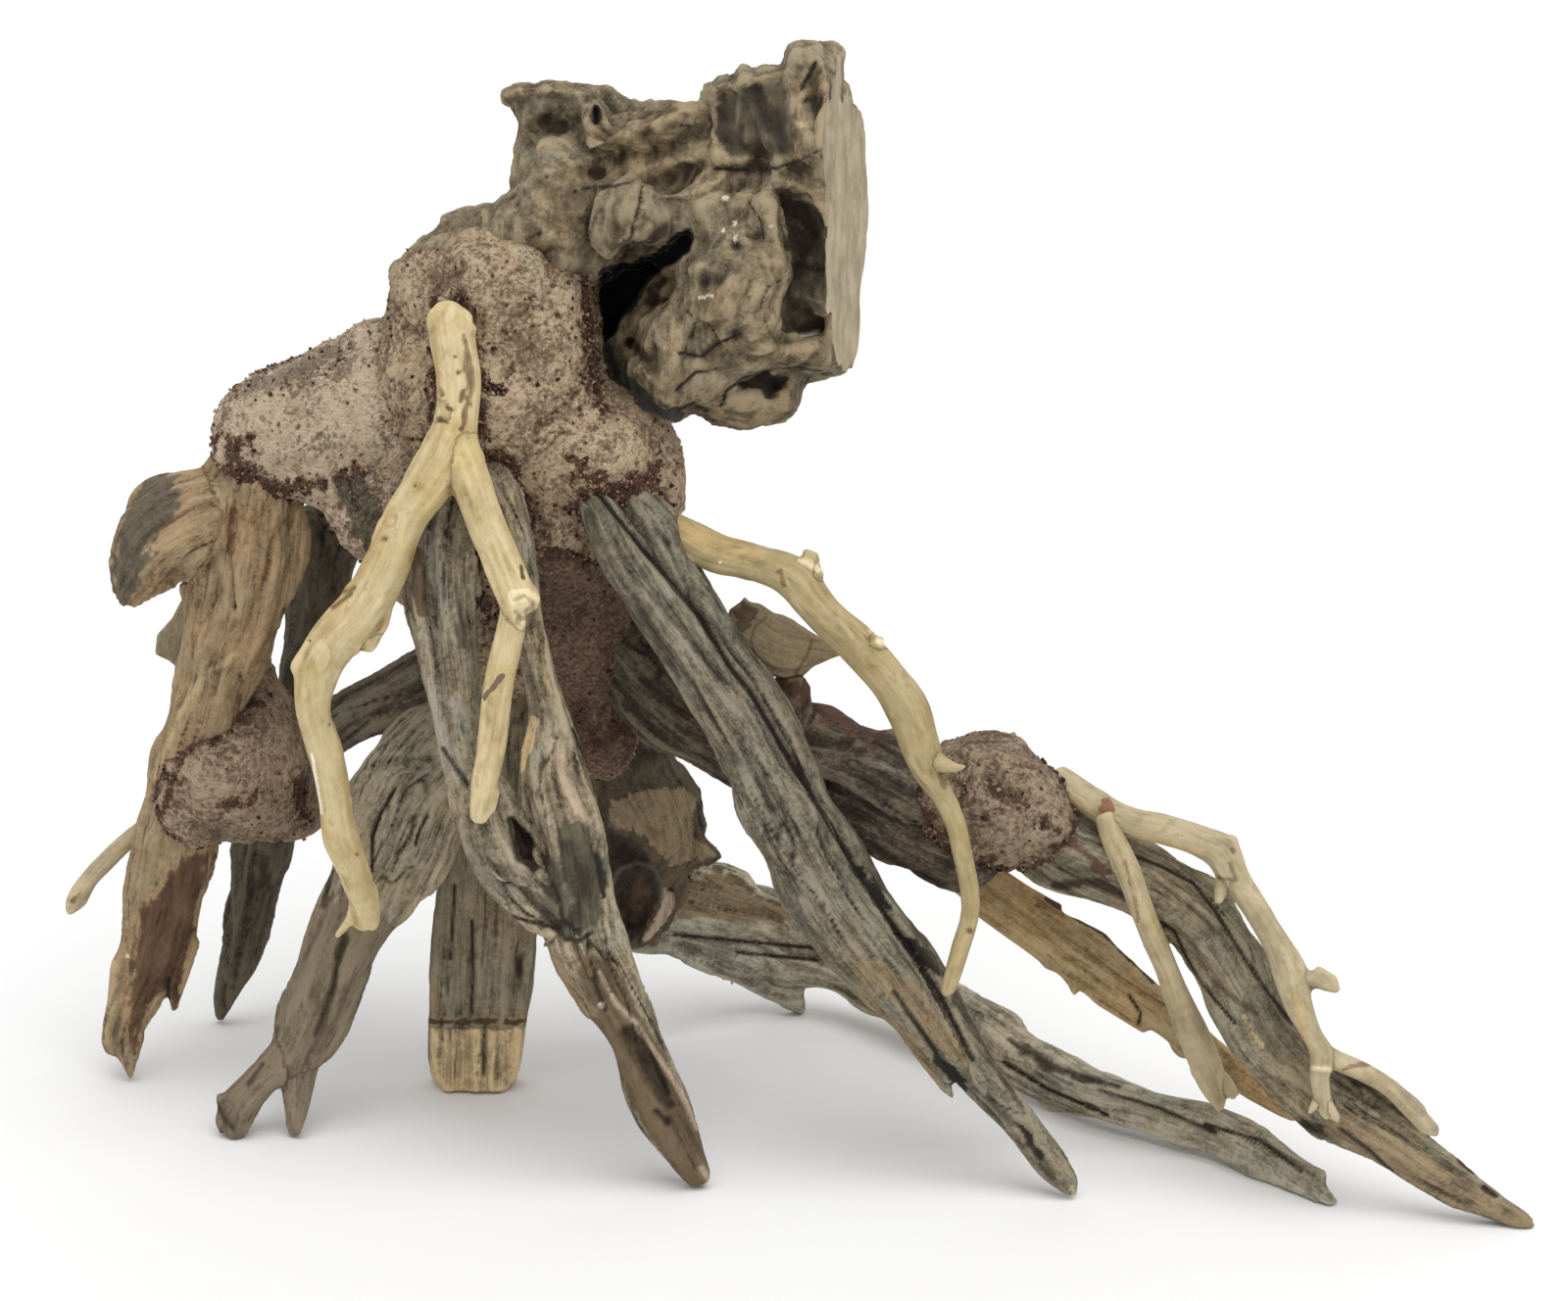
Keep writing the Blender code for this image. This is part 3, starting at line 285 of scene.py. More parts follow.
            (-135.3, 87, 68, 6.7, 5), (-138.5, 73, 70, 5.2, 4), (-142.4, 62, 71.5, 2.8, 2.4),
            (-144.2, 54.7, 72.5, 1, 1)],
    ),
    "cross_branch": (
        [(-128, 119, 34, 5.5, 5.5), (-120, 126, 30, 6.4, 6), (-109, 133.5, 25, 7, 6.4),
            (-97, 139, 20, 7.6, 6.8), (-86, 144.5, 17, 8, 7), (-77, 149, 15, 7, 6.4)],
    ),
    "right_arm": (
        [(-50, 163, 4, 11, 10), (-38, 147, 0, 13, 11), (-25, 134.8, -6, 13.4, 11.4),
            (-10, 128, -12, 12.8, 11.6), (7.5, 122, -18, 13.6, 12), (22.5, 116, -22, 14.4, 12.4),
            (36, 108.8, -25, 15, 12.4), (48, 103, -27, 14, 11.6), (57, 101, -28, 8, 8)],
        [(-1, 124, -20, 8, 7), (1, 136, -21, 6, 5.4), (2, 142.5, -22, 4.6, 4.2), (2.2, 145, -22, 3.2, 3)],
    ),
    "far_right_leg": (
        [(60, 105, -30, 9.5, 8.5), (71, 100, -31, 11.3, 9.2), (83, 95, -33, 10.5, 8.8),
            (95, 89.5, -36, 10.4, 8.4), (107, 80, -40, 9.9, 8), (114.6, 68.5, -44, 9, 7.6),
            (121, 55.5, -48, 8.7, 7.2), (130, 43.6, -52, 8.6, 6.6), (141, 34, -55, 7.6, 6),
            (153.5, 25.6, -58, 6.2, 5), (166, 17.2, -61, 4.6, 4), (181, 8.8, -64, 3, 2.8),
            (189.3, 3.9, -65, 1.8, 1.6), (191, 3, -65, 1, 1)],
    ),
    "tan_plank": (
        [(37, 98, -16, 3.6, 3.4), (47, 91, -15, 4.4, 3.6), (60, 82, -15, 5.8, 3.8),
            (72.5, 73.5, -16, 6.4, 3.8), (85, 65.3, -18, 6, 3.6), (97.5, 56.3, -20, 4.8, 3.4),
            (108, 48.2, -21, 4, 3.2), (117, 41, -22, 3.8, 3), (126, 34.3, -24, 2.6, 2.4),
            (131.5, 30, -25, 1.4, 1.4)],
    ),
    "low_root": (
        [(-35, 80, 62, 4, 3), (-27, 82, 67, 8, 4.2), (-17.5, 80, 73, 11, 4.8), (-6, 76.5, 78, 11, 5),
            (1.5, 72.5, 80, 9, 5), (8, 71.5, 79, 7.4, 5), (14, 69.5, 76, 7, 5), (25, 64.6, 66, 7.6, 5.4),
            (37.5, 60, 52, 8, 6), (50, 53.6, 36, 8.2, 6.2), (62, 45.4, 19, 8, 6), (75, 38.7, 4, 7, 5.6),
            (90, 33.8, -8, 5.6, 5.2), (105, 29, -18, 6.2, 5.2), (118, 23.4, -29, 6, 5),
            (130, 16.6, -41, 4, 3.8), (137.5, 11.4, -49, 2, 2), (142.6, 7.4, -54, 0.9, 0.9)],
    ),
    "heart_chunk": (
        [(-41, 128, 18, 8, 7), (-38.5, 121, 22, 10.5, 8.5), (-34, 111, 29, 12.6, 9),
            (-31.5, 102, 36, 10.6, 8.4), (-34.6, 94, 43, 9.8, 7.6), (-35.6, 85, 49, 8.8, 6.6),
            (-36.3, 79, 53, 5, 4.4)],
    ),
    "back_plank": (
        [(-74.6, 142, 17, 9.5, 6), (-75, 134, 17, 11.2, 6.6), (-75.4, 115, 18, 11.4, 7),
            (-75.9, 96, 20, 11.2, 7), (-76.8, 76, 22, 11.2, 7), (-77.8, 61, 23.5, 10.6, 6.8),
            (-78.5, 47, 25, 9.8, 6.2), (-78.7, 37, 26.3, 9.4, 6)],
    ),
    "flake_chip": (
        [(-13, 158.6, -24, 2.2, 1.1), (-6.3, 155, -24, 5.2, 1.6), (0.3, 151.4, -24, 6.4, 1.8),
            (7.6, 150, -24, 3.4, 1.4), (13.6, 149.4, -24, 0.9, 0.7)],
    ),
    "pale_chip_left": (
        [(-152, 164, 9, 1, 0.8), (-154, 157, 10, 2.6, 1.2), (-155.2, 151.4, 11, 3, 1.2),
            (-154, 147, 12, 1.8, 1), (-152.8, 143.6, 13, 0.8, 0.7)],
    ),
}

TWIGS = ("fork_twig", "arch_twig", "claw_twig", "hanging_twig", "left_twig")
CHIPS = ("flake_chip", "pale_chip_left")
SPLIT_WOOD = ("back_plank", "tan_plank", *CHIPS)

# The lumps: each blob is its spot on the elevation and its radii across, upward and inward
SHOULDER_BLOBS = (
    ((-92, 208, 4), (14, 24, 20)), ((-103, 210, 2), (13, 25, 20)), ((-115, 207, 1), (13, 21, 18)),
    ((-127, 206, 0), (12, 17.5, 15)), ((-136, 204, 0), (9.5, 14, 12)), ((-104, 184, -10), (10.5, 12, 10)),
)
CORE_BLOBS = (
    ((-60, 230, -8), (12.5, 22, 19)), ((-100, 204, 0), (14, 20, 17)), ((-72, 240, -2), (20, 21, 24)),
    ((-73, 214, -6), (26, 22, 26)), ((-52, 200, -8), (24, 18, 24)), ((-38, 193, -8), (12.5, 15, 18)),
    ((-62, 181, -2), (25, 17, 23)), ((-87, 241, -2), (13, 13, 19)), ((-90, 222, -2), (13, 22, 21)),
    ((-91, 174, 4), (12, 14, 14)), ((-52, 155, 3), (15, 18, 17)), ((-46, 131, 8), (9, 14, 12)),
    ((-74, 152, 8), (15, 14, 13)),
)
LEFT_MORTAR_BLOBS = (
    ((-139.5, 119.5, 20), (20, 17, 25)), ((-128, 113, 36), (13, 11.5, 22)), ((-137, 132, 20), (13, 11, 16)),
    ((-136, 142, 20), (5, 11, 8)), ((-150, 114, 12), (10, 14, 12)),
)
RIGHT_MORTAR_BLOBS = (
    ((51, 112, -28), (16, 17, 17)), ((60, 109, -31), (12, 14.5, 15)), ((66, 106, -33), (8, 10.5, 12)),
    ((42, 112, -26), (12, 13, 15)),
)
BURL_BLOBS = (
    ((-54, 271, 2), (15.5, 17, 19)), ((-76, 256, 2), (12, 8, 13)), ((-61, 285, 0), (11, 8.5, 9)),
    ((-68.5, 291.5, -4), (3.2, 2.2, 3)), ((-38, 273.5, 4), (22, 15.5, 19)), ((-16, 266, 4), (24, 23, 27)),
    ((-13, 287, 0), (10, 8.5, 12)), ((-4, 287, 2), (9, 10.5, 14)), ((4, 284, 2), (14, 19, 22)),
    ((9, 300, -2), (5.5, 6.2, 9)), ((6, 262, 2), (24, 32, 34)), ((4, 234, 0), (21, 15.5, 25)),
    ((-12, 242, -16), (15, 22, 18)), ((-25, 225, -12), (15.5, 14, 17)), ((-11, 216, -6), (13, 10, 15)),
    ((-40, 260, -18), (10.5, 12, 9)), ((-60, 253, 0), (19, 12, 18)), ((-38, 244, 14), (20, 20, 13)),
    ((-41, 223, 13), (15, 17, 13)),
)

# On the burl: the curled tip of its horn, the steps of its crest and the shoulder on its left
BURL_DETAILS = (
    ((-68.5, 292, -4), (5, 2.6, 4.5)), ((-60, 292.5, -3), (10, 3.4, 7)), ((-50, 290, -3), (9, 4.5, 8)),
    ((-42, 286.5, 0), (9, 4.5, 9)), ((-48, 286, -13), (3.8, 4.8, 4.5)), ((-16, 291, -6), (3.6, 4.6, 8)),
    ((-9, 293.5, -6), (4, 4.8, 9)), ((-3, 293, -6), (6, 5, 10)), ((3, 300, -8), (3.5, 5, 10)),
    ((10, 302.5, -6), (5, 3, 11)), ((9, 294, -14), (5.5, 10, 13)), ((10, 278, -20), (6.5, 16, 13)),
    ((11, 255, -24), (6, 20, 10)), ((-92, 245.5, 0), (9, 6, 12)), ((-84, 251.5, -3), (11, 6.5, 12)),
    ((-18.2, 291.5, -8), (2.6, 3.6, 7)), ((-62, 258, -9), (17, 10, 11)), ((-30, 215, -10), (9, 7, 9)),
    ((-4, 214, -8), (9, 6, 10)),
)

# The hollows of the burl, then bites out of its outline under the horn, before the crest and in its steps
BURL_HOLLOWS = (
    ((-36.5, 244, -22), (10.5, 11, 19)), ((-42, 232, -18), (7, 12, 14)), ((3.5, 251, -36), (8, 18.5, 13)),
    ((-25, 282, -24), (9, 9, 12)), ((-7, 279, -28), (7, 9, 12)),
)
BURL_BITES = (
    ((-74, 283.5, -2), (7, 6.5, 18)), ((-27.5, 297, 0), (7.8, 7.6, 26)), ((-12.8, 301, -2), (2.2, 4.4, 18)),
    ((-2.4, 304, -2), (3.4, 6.5, 18)), ((24, 214, -4), (15, 9, 30)),
)

# The cup between the strands of the front leg
CUP = ((-69.6, 102, -55), (5.2, 9, 11))

# Colours, as 8-bit sRGB

# Painted shade: the near black put into cracks, grooves and folds
CREVICE = (40, 35, 29)
# Painted shade deep inside holes and wells
NAVY_DARK = (14, 17, 26)
CHARRED = (40, 37, 33)
# Partly painted shade in recesses, shafts, hollows and pits and under overhangs, partly darker wood
DEEP_BROWN = (60, 50, 40)
# Stained wood's colour, also painted shade where the groove, dent and flute tools sink the wood, and the
# ground of the wood
STAIN_AND_SHADE = (74, 67, 55)
MOSSY = (88, 83, 67)
BLEACHED = (166, 158, 142)
# Partly a painted highlight on ridges, lips and raised blocks, partly the lighter streaks of the wood
LIGHT_GREY = (144, 136, 118)
FRESH_TAN = (150, 132, 103)
EDGE_TAN = (180, 158, 121)
# The tan of freshly split wood, painted brighter than it is as painted light, to make up for the shade it
# lies in
LIT_SPLIT_TAN = (216, 190, 148)
PINK_WOOD = (184, 164, 141)
BARK = (106, 90, 71)
BARK_DARK = (84, 66, 47)
RED_WOOD = (98, 72, 54)
UMBER = (108, 91, 68)
GREY_UMBER = (130, 116, 95)
GREY_KNOB = (108, 98, 82)
CREAM = (214, 197, 158)
PALE_WOOD = (188, 173, 142)
WHITE_FIBRE = (228, 218, 196)
GOLDEN = (176, 151, 104)
# Brown spots, marks and dirt, and in the twigs' crevices their painted shade
SPOT_AND_SHADE_BROWN = (104, 82, 56)
RUST = (124, 84, 60)
# Painted shade: the dark blue-grey on the shaded underside of the burl
SLATE = (60, 61, 58)
MORTAR_RED = (94, 69, 55)
# Darker red mortar between the legs: partly its own colour, partly painted shade
INNER_RED = (136, 110, 92)
MORTAR_GREY = (140, 126, 108)
LOBE_GREY = (112, 101, 83)
# Painted highlight on the raised rims of the burl's holes and hollows
BURL_LIGHT = (160, 146, 118)
SAWN_TONES = ((130, 117, 92), (165, 151, 123), (188, 176, 150))

# Each tool: how far it raises the wood in millimetres, where less than 0 sinks it, how soft the slope of its
# sides is, how ragged its edge is, its colour, and how strongly that covers
TOOLS = {
    "block": (4.0, 0.6, 0.05, LIGHT_GREY, 0.0),
    "boss": (3.2, 1.0, 0.3, LIGHT_GREY, 0.1),
    "knoll": (2.2, 1.0, 0.1, LIGHT_GREY, 0.2),
    "sheet": (0.8, 0.3, 0.2, LOBE_GREY, 0.3),
    # Painted highlight on the raised rim
    "rim": (1.6, 0.9, 0.3, BURL_LIGHT, 0.4),
    # Recess and shaft: painted shade in what they sink
    "recess": (-3.5, 0.9, 0.3, DEEP_BROWN, 0.35),
    "shaft": (-6.0, 0.35, 0.3, DEEP_BROWN, 0.55),
    # Painted shade deep in the well
    "well": (-13.0, 0.35, 0.3, NAVY_DARK, 0.97),
    # Gorge, crack and crevice: painted shade in the cracks they cut
    "gorge": (-2.4, 0.9, 0.08, CREVICE, 0.85),
    # Painted shade in the groove
    "groove": (-1.6, 1.0, 0.1, STAIN_AND_SHADE, 0.25),
    "crack": (-0.9, 0.9, 0.12, CREVICE, 0.75),
    "crevice": (-2.0, 0.9, 0.2, CREVICE, 0.8),
    # Painted shade in the hollow
    "hollow": (-6.0, 0.6, 0.1, DEEP_BROWN, 0.75),
    # Painted shade deep in the hole
    "hole": (-5.0, 0.5, 0.12, NAVY_DARK, 0.96),
    # Painted shade in the pit
    "pit": (-2.0, 0.6, 0.3, DEEP_BROWN, 0.8),
    # Dent and flute: painted shade in what they sink
    "dent": (-2.2, 1.0, 0.0, STAIN_AND_SHADE, 0.3),
    "flute": (-1.6, 1.0, 0.0, STAIN_AND_SHADE, 0.25),
    # Lip and ridge: a painted highlight on what they raise
    "lip": (1.7, 1.0, 0.1, LIGHT_GREY, 0.25),
    "ridge": (1.1, 1.0, 0.1, LIGHT_GREY, 0.4),
    "seam": (1.0, 0.9, 0.15, PINK_WOOD, 0.85),
    "edge": (0.5, 0.8, 0.35, EDGE_TAN, 0.75),
    "knob": (0.0, 0.5, 0.5, GREY_KNOB, 0.85),
    "knot": (0.6, 0.7, 0.3, BARK, 0.6),
    # Partly real stains, partly painted shade down flutes
    "stain_and_shade": (-0.2, 0.9, 0.6, STAIN_AND_SHADE, 0.6),
    # Partly painted shade under overhangs and in hollows, partly darker wood
    "dark": (-0.3, 0.9, 0.4, DEEP_BROWN, 0.7),
    "char": (-0.4, 0.7, 0.7, CHARRED, 0.85),
    "moss": (0.2, 1.0, 1.2, MOSSY, 0.65),
    # Partly a painted highlight, partly lighter streaks of the wood
    "light": (0.15, 0.9, 0.6, LIGHT_GREY, 0.6),
    "bleach": (0.35, 0.35, 0.5, BLEACHED, 0.8),
    "fresh": (-0.2, 0.5, 0.45, FRESH_TAN, 0.8),
    # Painted light: split wood brightened against the shade it lies in
    "split": (0.0, 0.5, 0.2, LIT_SPLIT_TAN, 0.95),
    "tip": (0.0, 0.6, 0.4, PALE_WOOD, 0.6),
    "pink": (0.3, 0.35, 0.3, PINK_WOOD, 0.85),
    "bark": (0.5, 0.3, 0.4, BARK, 0.85),
    "barkedge": (0.9, 0.5, 0.4, BARK_DARK, 0.9),
    "red": (0.0, 0.8, 0.5, RED_WOOD, 0.7),
    "redface": (-0.2, 1.0, 0.8, RED_WOOD, 0.7),
    "umber": (0.0, 0.9, 0.7, UMBER, 0.7),
    "dusk": (0.0, 2.4, 1.2, GREY_UMBER, 0.7),
    "chip": (0.5, 0.5, 0.2, WHITE_FIBRE, 0.95),
    "spot": (-0.25, 0.8, 0.3, SPOT_AND_SHADE_BROWN, 0.75),
    "scar": (0.35, 0.6, 0.3, CREAM, 0.6),
    "notch": (-1.2, 0.7, 0.2, SPOT_AND_SHADE_BROWN, 0.85),
    "barkbit": (0.6, 0.4, 0.4, BARK, 0.9),
    "cut": (0.1, 0.3, 0.1, CREAM, 0.8),
    "golden": (0.0, 0.8, 0.2, GOLDEN, 0.6),
    "knotty": (0.5, 0.7, 0.5, SPOT_AND_SHADE_BROWN, 0.7),
    "pale": (0.3, 0.8, 0.3, CREAM, 0.7),
    "dirt": (0.0, 0.8, 0.6, SPOT_AND_SHADE_BROWN, 0.6),
    "rust": (0.0, 0.7, 0.6, RUST, 0.6),
    "mortarband": (0.5, 0.3, 0.4, RUST, 0.75),
    "ring": (0.7, 0.8, 0.1, CREAM, 0.5),
    "greyed": (0.0, 0.8, 0.4, MORTAR_GREY, 0.6),
    "ringline": (-0.3, 0.8, 0.1, SPOT_AND_SHADE_BROWN, 0.5),
    "palepatch": (0.2, 0.8, 0.4, PALE_WOOD, 0.7),
    "whitish": (0.4, 0.8, 0.3, WHITE_FIBRE, 0.8),
    # Painted shade on the underside
    "slate": (0.0, 0.7, 0.3, SLATE, 0.8),
    "crumbs": (0.3, 0.9, 0.7, MORTAR_RED, 0.75),
    # Partly painted shade between the legs
    "inner": (0.0, 0.9, 0.8, INNER_RED, 0.85),
    "leafchip": (1.6, 0.3, 0.1, PALE_WOOD, 0.85),
    "woodlobe": (0.5, 0.4, 0.2, LOBE_GREY, 0.9),
}

# The tools that go round to the back of the piece
TOOLS_ALL_ROUND = (
    "knob", "split", "tip", "red", "umber", "dusk", "golden", "mortarband", "ring", "greyed",
)

# What is drawn on each piece, in this order: the tool, and its lines of (right, up, half width) on the
# elevation, or of (right, up) where it fills a closed outline
STROKES = {
    "long_leg": (
        ("gorge", ((-49, 191.5, 0.8), (-45, 187, 1.1), (-38, 178, 1.1), (-22, 159, 1.1), (-14, 146, 1.1),
            (-8, 138.5, 1.1), (-1, 126, 1.1), (19, 93, 1.1), (40, 61.5, 1.1), (48, 45.5, 0.8))),
        ("light", ((-35.5, 164.5, 1.5), (-26.5, 152, 2.2), (-18, 143, 2.2), (-12.5, 136, 2.2),
            (-2.5, 118.5, 2.5), (5, 103.5, 2)), ((-35, 186, 1.8), (-25, 173.5, 2), (-15, 161, 1.5))),
        ("stain_and_shade", ((-50, 186, 2.5), (-47, 176, 3.5), (-40, 166, 2.2), (-27.5, 143.5, 2)), ((-23, 142, 1.2),
            (-21, 136.5, 1.5), (-16, 128.5, 1)), ((-27.5, 186, 1.2), (-2.5, 148.5, 1))),
        ("char", ((19.5, 94, 1.8), (23, 90, 2.2), (26, 85, 1.5)), ((32, 75.5, 2), (35.5, 71, 2.5),
            (39, 68, 1.8))),
        ("light", ((31.5, 83, 1), (36, 75.5, 1))),
        ("fresh", ((17, 72), (25, 71.5), (34, 65), (42, 55), (48, 45), (47.5, 41.5), (41, 47), (32.5, 56),
            (24, 63), (17, 66.5)), ((20, 63.5, 2), (26, 55, 2.2), (34, 48, 2), (39, 41, 1.5))),
        ("crack", ((28, 63, 0.8), (40.5, 45, 1.4), (46, 40, 1.1))),
        ("char", ((38, 47, 1.5), (42.5, 41.5, 2.2), (45.5, 38.5, 1.5))),
        ("light", ((45, 65, 1), (52.5, 51, 1.2), (62, 35, 1))),
        ("stain_and_shade", ((52.5, 36, 2.5), (60, 26, 3), (69, 16, 2.2)), ((22.5, 100, 1.8), (39, 70, 2),
            (54, 45, 2), (60, 33.5, 1.8))),
        ("char", ((60, 28.5, 2), (65.5, 21.5, 1.8))),
        ("tip", ((73, 13, 1.2), (75, 10, 1.2))),
    ),
    "front_leg": (
        ("bark", ((-94, 176, 2.2), (-92.5, 168.5, 3), (-92, 160, 2))),
        ("bleach", ((-90.5, 180, 1.5), (-89, 172, 2.2), (-87.5, 165, 2), (-86, 156.5, 1))),
        ("stain_and_shade", ((-83.5, 164, 2), (-82.5, 157, 2.2), (-82, 151, 1.2))),
        ("light", ((-90, 186, 2.5), (-89, 171, 3.5), (-86, 136, 2.5))),
        ("bleach", ((-90, 138, 2), (-88, 131, 2.5), (-85, 123.5, 2.2), (-83, 118, 1.5))),
        ("umber", ((-54, 75), (-44, 72), (-34, 56), (-15, 18.5), (-16, 11), (-26, 11), (-40, 33.5),
            (-50, 56))),
        ("bleach", ((-84, 137, 2.5), (-81, 128.5, 2.2))),
        ("crack", ((-87, 125, 0.8), (-84, 120.5, 1.1), (-80.5, 115.5, 0.8))),
        ("char", ((-77, 163, 2), (-76, 156, 2.2), (-75, 148, 1.5))),
        ("ridge", ((-66, 193, 0.8), (-63.5, 185, 0.8), (-63, 178, 0.8), (-61.5, 171, 0.8),
            (-62, 163.5, 0.8))),
        ("edge", ((-63.5, 155.5, 1), (-63, 148, 1), (-60, 141, 1.2), (-56.5, 137, 1))),
        ("split", ((-63.5, 132, 1.8), (-66, 125, 2.2), (-68, 120, 2), (-70, 118, 1.2))),
        ("pink", ((-59.5, 126.5, 1.5), (-56, 119, 2.2), (-53, 111, 2), (-50, 106, 1))),
        ("ridge", ((-56.5, 131, 0.8), (-52, 122, 0.8), (-46, 103, 0.8))),
        ("crack", ((-54, 130, 0.8), (-50, 121, 0.8), (-47, 110.5, 0.8))),
        ("hollow", ((-69.5, 106.5, 2), (-67.5, 101.5, 3.5), (-66.5, 98, 3.5))),
        ("pit", ((-65, 96.5, 2), (-64, 95, 1.8))),
        ("lip", ((-82, 106, 1.2), (-80.5, 99, 1.5), (-77, 94.5, 1.5), (-71, 91, 1.5), (-65, 90.5, 1.2))),
        ("crack", ((-78, 87, 0.8), (-69, 82, 0.8), (-58, 79, 0.8)), ((-58, 81, 0.8), (-56, 76.5, 0.8),
            (-52, 76, 0.8), (-49, 78, 0.8))),
        ("moss", ((-58.5, 110), (-52.5, 108), (-47, 103.5), (-44, 91), (-45.5, 80), (-52.5, 75), (-66, 79),
            (-63, 90), (-59.5, 98.5)), ((-80, 101, 2), (-75, 93.5, 2.5), (-70, 85, 2.2))),
        ("stain_and_shade", ((-56, 101, 1.5), (-50, 91, 2.2), (-54, 81, 2))),
        ("char", ((-49, 100, 0.8), (-47, 93.5, 1.2), (-46, 87, 1)), ((-56, 81, 1), (-52.5, 78, 1))),
        ("light", ((-82.5, 105, 1.8), (-79.5, 97, 2), (-74, 90, 2), (-66, 87, 1.8)), ((-56, 90, 1.2),
            (-54, 86, 1.2)), ((-59, 98.5, 1), (-57, 95, 1))),
        ("fresh", ((-59, 73, 1.5), (-55, 65, 2.2), (-50.5, 59, 2.2), (-48.5, 57.5, 1.5))),
        ("crack", ((-48.5, 66, 0.8), (-45.5, 58.5, 0.8))),
        ("chip", ((-46.5, 59.5, 0.8),)),
        ("groove", ((-40, 53, 2.5), (-36, 46, 3.5), (-32, 38.5, 3), (-29, 34, 2))),
        ("dark", ((-40, 53, 2.5), (-36, 46, 3.5), (-32, 38.5, 3), (-29, 34, 2))),
        ("crack", ((-37.5, 54, 0.8), (-34.5, 48.5, 0.8), (-29.5, 37, 0.8))),
        ("seam", ((-47, 68, 0.8), (-43, 60, 1), (-38, 55, 1.2), (-28, 40, 1.2), (-25, 35, 1.2),
            (-22, 28, 1))),
        ("pit", ((-32.5, 32.5, 1), (-30, 29.5, 1.2))),
        ("tip", ((-21, 17, 1.5), (-19, 15, 1.5))),
    ),
    "grey_leg_left": (
        ("crack", ((-99, 115, 0.8), (-103, 108, 0.8), (-105, 102, 0.8), (-105, 93.5, 0.8)),
            ((-91, 108, 0.8), (-93, 104, 0.8), (-94, 100.5, 0.8))),
        ("groove", ((-112.5, 118.5, 1.2), (-101, 122, 1.2), (-90, 122, 1.2))),
        ("ridge", ((-110, 115.5, 1), (-100, 119.5, 1), (-89, 118.5, 1))),
        ("crack", ((-112, 77, 0.8), (-114, 70, 0.8), (-115, 64, 0.8), (-119.5, 52, 0.8))),
        ("groove", ((-112, 77, 1.2), (-114, 70, 1.5), (-115, 64, 1.5), (-119.5, 52, 1.2))),
        ("crack", ((-136.5, 39.5, 0.8), (-133, 44.5, 0.8))),
        ("pit", ((-129.5, 53.5, 1),)),
        ("crack", ((-144.5, 34, 0.8), (-142.5, 30, 0.8), (-140.5, 28, 0.8))),
        ("dusk", ((-112, 92), (-99, 85), (-91, 70), (-102.5, 43.5), (-112.5, 16), (-137.5, 15), (-160, 26),
            (-157.5, 50), (-140, 65), (-134.5, 78.5), (-125, 86.5))),
        ("light", ((-125, 41, 1), (-125, 28.5, 1))),
        ("dark", ((-115.5, 93.5, 1.5), (-117.5, 85, 1.5))),
    ),
    "brown_leg": (
        ("knob", ((-159, 190, 7.5), (-165, 180, 6.5), (-167.5, 170, 5.5), (-169, 163.5, 3.5))),
        ("groove", ((-125, 187, 0.8), (-129, 181, 1.2), (-133, 167, 1.2), (-135.5, 161, 1),
            (-136.5, 155, 0.8)), ((-134.5, 191, 0.8), (-137, 177, 0.8))),
        ("edge", ((-124, 185.5, 1), (-126, 178, 1.5), (-128, 172, 1)), ((-140, 149, 1.5), (-146, 145, 2),
            (-151, 139, 2), (-155, 133, 2), (-157.5, 126, 1.8), (-160.5, 120, 1.5), (-162.5, 113, 1.2))),
        ("fresh", ((-160, 99, 4), (-162.5, 92, 3.5), (-165.5, 85, 2))),
        ("redface", ((-164.5, 85), (-153, 99), (-145, 99.5), (-151, 70), (-154.5, 57.5), (-158, 62),
            (-162.5, 58.5), (-164, 46), (-166, 40.5), (-168, 45), (-168, 56), (-167, 71))),
        ("fresh", ((-174, 66), (-168, 70), (-169, 47), (-174, 46))),
        ("red", ((-155.5, 68.5, 1.8), (-155.5, 59, 1.2))),
        ("chip", ((-167.5, 72, 0.8),)),
        ("edge", ((-171, 70, 2), (-172, 58.5, 2), (-172.5, 50, 1.5))),
        ("tip", ((-166, 46, 2), (-166, 41.5, 1.2))),
        ("crack", ((-157, 66, 0.8), (-157, 59.5, 0.8))),
        ("groove", ((-146, 176, 1.2), (-144.5, 166, 1.5), (-147.5, 153.5, 1.2)), ((-140, 186, 1),
            (-141, 173.5, 1.2), (-140, 161, 1))),
    ),
    "back_left_leg": (
        ("dark", ((-133, 97, 3), (-132.5, 90.5, 2.5))),
        ("groove", ((-134.5, 98.5, 1), (-137.5, 78.5, 1.2), (-140.5, 63.5, 1))),
    ),
    "back_plank": (
        ("crack", ((-79.5, 81, 0.8), (-79.5, 57.5, 0.8)), ((-84, 90, 0.8), (-85, 71.5, 0.8))),
        ("split", ((-91, 54.5), (-85, 53.5), (-77.5, 54), (-71, 53.5), (-65, 54.5), (-66.5, 37),
            (-90.5, 37))),
        ("barkedge", ((-90.5, 55.5, 1), (-84, 55, 1), (-76, 55.5, 1), (-69, 55, 1), (-65, 56, 0.8))),
        ("groove", ((-87, 53, 0.8), (-87, 41, 0.8))),
        ("crack", ((-76.5, 54, 0.8), (-76.5, 42, 0.8))),
        ("groove", ((-73, 53, 0.8), (-73, 40, 0.8))),
        ("dark", ((-67.5, 72, 2), (-67.5, 65, 1.5))),
        ("knot", ((-74, 78, 2.2),)),
    ),
    "low_root": (
        ("crack", ((-28, 77.5, 0.8), (8.5, 74, 0.8)), ((-12, 73, 0.8), (8.5, 71, 0.8))),
        ("char", ((-30, 94.5, 1.2), (-26, 93, 2.2), (-24, 91, 2), (-25, 88, 1.5))),
